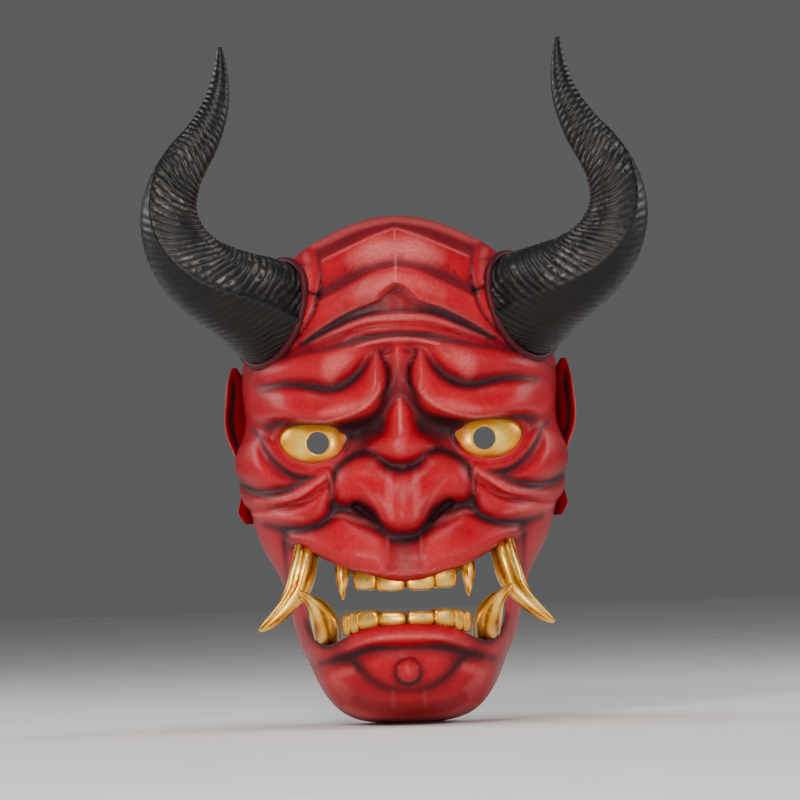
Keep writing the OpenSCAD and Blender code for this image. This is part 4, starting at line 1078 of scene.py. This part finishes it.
ribs, ribKeys = ribTree(dryBrushedBlack)
for side, node in ((1, "horn_right"), (-1, "horn_left")):
    piece = hornSweep(side)
    step = piece.modifiers.new("ribs", "NODES")
    step.node_group = ribs
    step[ribKeys["Seed"]] = horn["seed"] + (1 if side < 0 else 0)
    evaluated(piece)
    for name in ("along", "around", "wide"):
        if name in piece.data.attributes:
            piece.data.attributes.remove(piece.data.attributes[name])
    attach(piece, "mask")
    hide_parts(node)
print("horns ready")


# eyes: gilt caps with a round sight hole, darker towards the nose, the lower lid and the outer corner, with painted
# shade along the top under the brow and a painted reflection beside the hole

eyes = {"centre": (34.4, -41.3, 0), "radius": 26, "flatter": 0.9, "wall": 2.6, "pupilX": 41, "pupilRadius": 5.6,
        "outline": [[60.5, 2], [59, 6], [54, 8.3], [47, 8.7], [39, 8.2], [32, 6.2], [27.5, 2], [29.5, -2.5], [35, -7],
                    [43, -9.3], [51, -8], [57, -4]]}


def eyePiece(side):
    e = eyes
    edge = smoothLine(e["outline"], 8, True)
    edge = np.stack([44 + (edge[:, 0] - 44) * 1.14, edge[:, 1] * 1.25], -1)
    n = len(edge)
    turn = np.arctan2(edge[:, 1], edge[:, 0] - e["pupilX"])
    order = np.argsort(turn)
    edge, turn = edge[order], turn[order]
    hole = np.stack([e["pupilX"] + e["pupilRadius"] * np.cos(turn), e["pupilRadius"] * np.sin(turn)], -1)
    levels = 26
    cx, cy, cz = e["centre"]
    points, paint = [], []
    for radius in (e["radius"], e["radius"] - e["wall"]):
        for k in range(levels + 1):
            t = k / levels
            lip = 0.35 * math.exp(-(t / 0.05) ** 2) if radius == e["radius"] else 0
            for q in hole * (1 - t) + edge * t:
                across = (q[0] - cx) * (e["flatter"] if q[0] > cx else 1)
                y = cy - math.sqrt(max((radius - lip) ** 2 - across ** 2 - (q[1] - cz) ** 2, 1))
                points.append([side * q[0], y, q[1]])
                # the gold darkens towards the nose, the lower lid and the outer corner; the darkening along the top is
                # painted shade from the brow, and the bright patches beside the sight hole and at the inner end are a
                # painted reflection
                inner = smoothStep(37.5, 29.5, q[0]) * 0.9
                lower = smoothStep(-4, -9, q[1]) * 0.75
                upper = smoothStep(4, 9.4, q[1]) * 0.7
                outerCorner = smoothStep(54.5, 61, q[0]) * 0.6
                washAndShade = 1 - (1 - inner) * (1 - lower) * (1 - upper) * (1 - outerCorner)
                bright = math.exp(-((q[0] - 49.4) / 3.4) ** 2 - (q[1] / 7) ** 2) + 0.5 * math.exp(
                    -((q[0] - 33.8) / 1.6) ** 2 - ((q[1] - 1.6) / 3) ** 2)
                paint.append([washAndShade, min(1, bright * 0.9), 0, 1])
    size = (levels + 1) * n
    faces = []
    for layer in (0, 1):
        for k in range(levels):
            for i in range(n):
                a, b = layer * size + k * n + i, layer * size + k * n + (i + 1) % n
                faces.append([a, b, b + n, a + n] if layer else [a, a + n, b + n, b])
    for i in range(n):
        j = (i + 1) % n
        faces.append([i, j, size + j, size + i])
        faces.append([levels * n + j, levels * n + i, size + levels * n + i, size + levels * n + j])
    piece = outward(meshPiece("eyeRight" if side > 0 else "eyeLeft", points, faces, giltEye))
    paintPoints(piece, paint)
    sharpEdges(piece, 45)
    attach(piece, "mask")
    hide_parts("eye_right" if side > 0 else "eye_left")
    return piece


for side in (1, -1):
    eyePiece(side)
print("eyes ready")


# teeth: rows of blunt blocks on a gum bar, bent round an arch

teeth = {"archRadius": 46, "archFront": -79,
         "upper": [[7.7, 15.2, -65, -73.8, 1.0], [21, 13, -63, -73, 0.8]],
         "lower": [[7.3, 14.4, -83.8, -91, 1.0], [20, 12.4, -83, -92, 0.9], [27.6, 6, -83.6, -94, 0.6],
                   [32.6, 5.8, -84.6, -95, 0.6]],
         "upperBar": (-58.5, -66.6, 34), "lowerBar": (-89.6, -97.6, 34)}


def toothBlock(cx, width, zRoot, zTip, depth, fluted=0.5, around=40, levels=24, seed=0):
    # rounded, slightly flared block from root to tip in the flat, x by depth by z
    points, paint = [], []
    for k in range(levels + 1):
        t = k / levels
        end = 1 - max(0, (t - 0.78) / 0.22) ** 2.6
        swell = 0.9 + 0.1 * math.sin(math.pi * min(1, t * 1.15)) + 0.06 * t
        for i in range(around):
            a = 2 * math.pi * i / around
            c, s = math.cos(a), math.sin(a)
            sx = math.copysign(abs(c) ** 0.3, c) * width / 2 * swell * (0.55 + 0.45 * math.sqrt(max(end, 0)))
            sy = math.copysign(abs(s) ** 0.5, s) * depth / 2 * (0.5 + 0.5 * math.sqrt(max(end, 0)))
            flute = fluted * 0.28 * math.cos(2 * math.pi * 3 * (sx / width)) if s < 0 else 0
            wave = 0.25 * math.sin(sx * 1.1 + seed)
            points.append([cx + sx, sy + flute * (1 - t) + (-0.7 * math.sin(math.pi * t) if s < 0 else 0),
                           zRoot + (zTip - zRoot) * t + wave * t])
            # brown stain towards the sides and the root; the pale strip down the middle of each face, stronger towards
            # the tip, is partly rubbed gold and partly a painted highlight
            recess = max(0, abs(sx / width) * 2 - 0.72) / 0.28 + max(0, 0.28 - t) / 0.28 * 0.9
            paint.append([min(1, recess * 0.8), max(0, 0.75 - abs(sx / width) * 1.9) * (0.35 + 0.65 * t), 0, 1])
    n = around
    faces = [[k * n + i, k * n + (i + 1) % n, (k + 1) * n + (i + 1) % n, (k + 1) * n + i]
             for k in range(levels) for i in range(n)]
    first, last = len(points), len(points) + 1
    points += [[cx, 0, zRoot], [cx, -0.3, zTip]]
    paint += [[1, 0, 0, 1], [0.1, 0.7, 0, 1]]
    faces += [[(i + 1) % n, i, first] for i in range(n)]
    faces += [[levels * n + i, levels * n + (i + 1) % n, last] for i in range(n)]
    return points, faces, paint


def gumBar(z0, z1, half, around=20, steps=90):
    points, paint = [], []
    mid, tall = (z0 + z1) / 2, abs(z0 - z1) / 2
    for k in range(steps + 1):
        x = half * (2 * k / steps - 1)
        edge = math.sqrt(max(0.02, 1 - abs(x / half) ** 8))
        bead = 1 + 0.1 * math.sin(x * 0.9)
        for i in range(around):
            a = 2 * math.pi * i / around
            points.append([x, math.sin(a) * 3.2 * edge, mid + math.cos(a) * tall * edge * bead])
            paint.append([0.75, 0.05, 0, 1])
    n = around
    faces = [[k * n + i, k * n + (i + 1) % n, (k + 1) * n + (i + 1) % n, (k + 1) * n + i]
             for k in range(steps) for i in range(n)]
    faces += [list(range(n))[::-1], list(range(steps * n, (steps + 1) * n))]
    return points, faces, paint


def toothRow(name, node, rows, bar):
    points, faces, paint = [], [], []
    parts = [gumBar(*bar)]
    for cx, width, z0, z1, fluted in rows:
        root, tip = (z0, z1) if node == "upper_teeth" else (z1, z0)
        for s in (1, -1):
            parts.append(toothBlock(s * cx, width, root, tip, 8.4, fluted, seed=cx * s))
    for p, f, c in parts:
        base = len(points)
        points += p
        faces += [[base + i for i in face] for face in f]
        paint += c
    p = np.array(points)
    r = teeth["archRadius"]
    centre = teeth["archFront"] + r
    a = p[:, 0] / r
    away = r - 4.2 - p[:, 1]
    bent = np.stack([away * np.sin(a), centre - away * np.cos(a), p[:, 2]], -1)
    piece = outward(meshPiece(name, bent, faces, giltTeeth))
    paintPoints(piece, paint)
    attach(piece, "mask")
    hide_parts(node)
    return piece


toothRow("upperTeeth", "upper_teeth", teeth["upper"], teeth["upperBar"])
toothRow("lowerTeeth", "lower_teeth", teeth["lower"], teeth["lowerBar"])


# tusks and fangs: carved facets run their whole length, with stain between them

def tuskSection(facets, depth, twist):
    def section(turn, u):
        a = turn * facets + twist * u * 6
        return 1 + depth * (1 - u * 0.6) * (np.abs(np.cos(a / 2)) - 0.64) + 0.03 * np.sin(turn * 2 + u * 17)
    return section


def tuskPiece(name, node, side, run, facets, depth, twist):
    line = smoothLine(run, 16)
    section = tuskSection(facets, depth, twist)
    points, faces, turn, u = taper(line[:, :3], line[:, 3] / 2, 72, section)
    shape = section(turn, u)
    # stain between the facets and at the root; the pale on the facet tops, stronger towards the tip, is partly rubbed
    # gold and partly a painted highlight
    low = np.clip((1.0 - shape) / 0.05, 0, 1)
    root = smoothStep(0.34, 0.05, u)
    washAndShade = np.clip(low * 0.85 + root * 0.75, 0, 1)
    paleAndHighlight = np.clip((shape - 1.0) / 0.05, 0, 1) * (0.35 + 0.65 * smoothStep(0.1, 0.6, u))
    paint = np.stack([washAndShade, paleAndHighlight * 0.9, washAndShade * 0, washAndShade * 0 + 1], -1).reshape(-1, 4)
    paint = np.vstack([paint, [[1, 0, 0, 1], [0.1, 0.6, 0, 1]]])
    if side < 0:
        points = mirrored(points)
        faces = [f[::-1] for f in faces]
    piece = outward(meshPiece(name, points, faces, giltTeeth))
    paintPoints(piece, paint)
    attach(piece, "mask")
    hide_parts(node)
    return piece


for side, hand in ((1, "right"), (-1, "left")):
    tuskPiece("upperTusk" + hand.title(), "upper_tusk_" + hand, side, tusks["upper"]["run"], 7, 0.11, 0.5)
    tuskPiece("lowerTusk" + hand.title(), "lower_tusk_" + hand, side, tusks["lower"]["run"], 6, 0.12, 0.4)
    tuskPiece("upperFang" + hand.title(), "upper_fang_" + hand, side, tusks["fang"]["run"], 5, 0.1, 0.2)
print("teeth and tusks ready")


# foam pads, cut from flat sheet and glued inside: soft edges and a little unevenness

pads = {"voxel": 1.5, "soften": 9, "inset": 0.4, "dents": 0.35,
        "pieces": {"browPad": "brow_pad", "cheekPadLeft": "cheek_pad_left", "cheekPadRight": "cheek_pad_right",
                   "chinPad": "chin_pad"}}


def padPiece(name, node):
    mesh = bpy.data.objects[node].data.copy()
    mesh.name = name
    piece = bpy.data.objects.new(name, mesh)
    bpy.context.scene.collection.objects.link(piece)
    weld = piece.modifiers.new("weld", "WELD")
    weld.merge_threshold = 0.00001
    skin = piece.modifiers.new("skin", "REMESH")
    skin.mode, skin.voxel_size, skin.use_smooth_shade = "VOXEL", pads["voxel"] * mm, True
    calm = piece.modifiers.new("calm", "SMOOTH")
    calm.factor, calm.iterations = 0.5, pads["soften"]
    evaluated(piece)
    count = len(piece.data.vertices)
    v = np.empty(count * 3)
    n = np.empty(count * 3)
    piece.data.vertices.foreach_get("co", v)
    piece.data.vertex_normals.foreach_get("vector", n)
    v, n = v.reshape(-1, 3), n.reshape(-1, 3)
    dent = grainNoise(v[:, 0] / mm, v[:, 2] / mm, 11, 9)[:, None]
    # only the side that meets the wearer moves, and only inwards from the sheet's own face
    facing = np.clip(n[:, 1:2], 0, 1)
    v += n * facing * mm * (-pads["inset"] + pads["dents"] * dent)
    piece.data.vertices.foreach_set("co", v.ravel())
    piece.data.materials.clear()
    piece.data.materials.append(openCellFoam)
    for polygon in piece.data.polygons:
        polygon.material_index = 0
        polygon.use_smooth = True
    piece.data.update()
    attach(piece, "mask")
    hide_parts(node)


for name, node in pads["pieces"].items():
    padPiece(name, node)
print("pads ready")


# hardware keeps its drawn shape and takes real finishes

finishes = {"horn_inserts": turnedBrass, "horn_screws": zincSteel, "horn_washers": zincSteel,
            "strap_bracket_left": zincSteel,
            "strap_bracket_right": zincSteel, "bracket_screws": zincSteel, "strap_ring_left": zincSteel,
            "strap_ring_right": zincSteel}
for node, finish in finishes.items():
    for slot in bpy.data.objects[node].material_slots:
        slot.material = finish
print("hardware ready")


# camera, lights and floor

view = {"centre": (0.13, -60, 19.97), "width": 394.4, "distance": 4500, "roll": 1.8}
lights = {"key": ((-380, -1350, 850), 360, 14.5, "#FFF8F2"), "front": ((-120, -1500, -120), 300, 11, "#FFF7EC"),
          "fill": ((900, -1200, 250), 700, 4, "#F4F6FF"),
          "top": ((0, -250, 1100), 500, 5, "#FFFFFF"), "rimLeft": ((-900, 200, 350), 500, 5, "#FFFFFF"),
          "rimRight": ((900, 200, 350), 500, 4, "#FFFFFF")}


def lookAt(thing, place, target, roll=0.0):
    thing.location = Vector(place) * mm
    way = (Vector(target) - Vector(place)).normalized()
    turn = way.to_track_quat("-Z", "Y")
    thing.rotation_mode = "QUATERNION"
    thing.rotation_quaternion = turn
    if roll:
        thing.rotation_quaternion = Quaternion(way, math.radians(roll)) @ turn


cameraData = bpy.data.cameras.new("camera")
cameraData.sensor_width = 36
cameraData.lens = 36 * view["distance"] / view["width"]
cameraData.clip_end = 20
camera = bpy.data.objects.new("camera", cameraData)
bpy.context.scene.collection.objects.link(camera)
cx, cy, cz = view["centre"]
lookAt(camera, (cx, cy - view["distance"], cz), view["centre"], view["roll"])
bpy.context.scene.camera = camera

for name, (place, size, power, tint) in lights.items():
    data = bpy.data.lights.new(name, "AREA")
    data.shape, data.size, data.energy = "DISK", size * mm, power
    data.color = toLinear(tint)[:3]
    lamp = bpy.data.objects.new(name, data)
    bpy.context.scene.collection.objects.link(lamp)
    lookAt(lamp, place, (0, -40, 0))

world = bpy.data.worlds.new("studio")
world.use_nodes = True
world.node_tree.nodes["Background"].inputs["Color"].default_value = toLinear("#EDEFF2")
world.node_tree.nodes["Background"].inputs["Strength"].default_value = 0.13
bpy.context.scene.world = world


low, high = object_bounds()
floorZ = low[2] / mm - 0.2
floorPiece = meshPiece("floor", [[-2500, -2500, floorZ], [2500, -2500, floorZ], [2500, 2500, floorZ],
                                 [-2500, 2500, floorZ]],
                       [[0, 1, 2, 3]], floorMaterial())

print("scene ready")
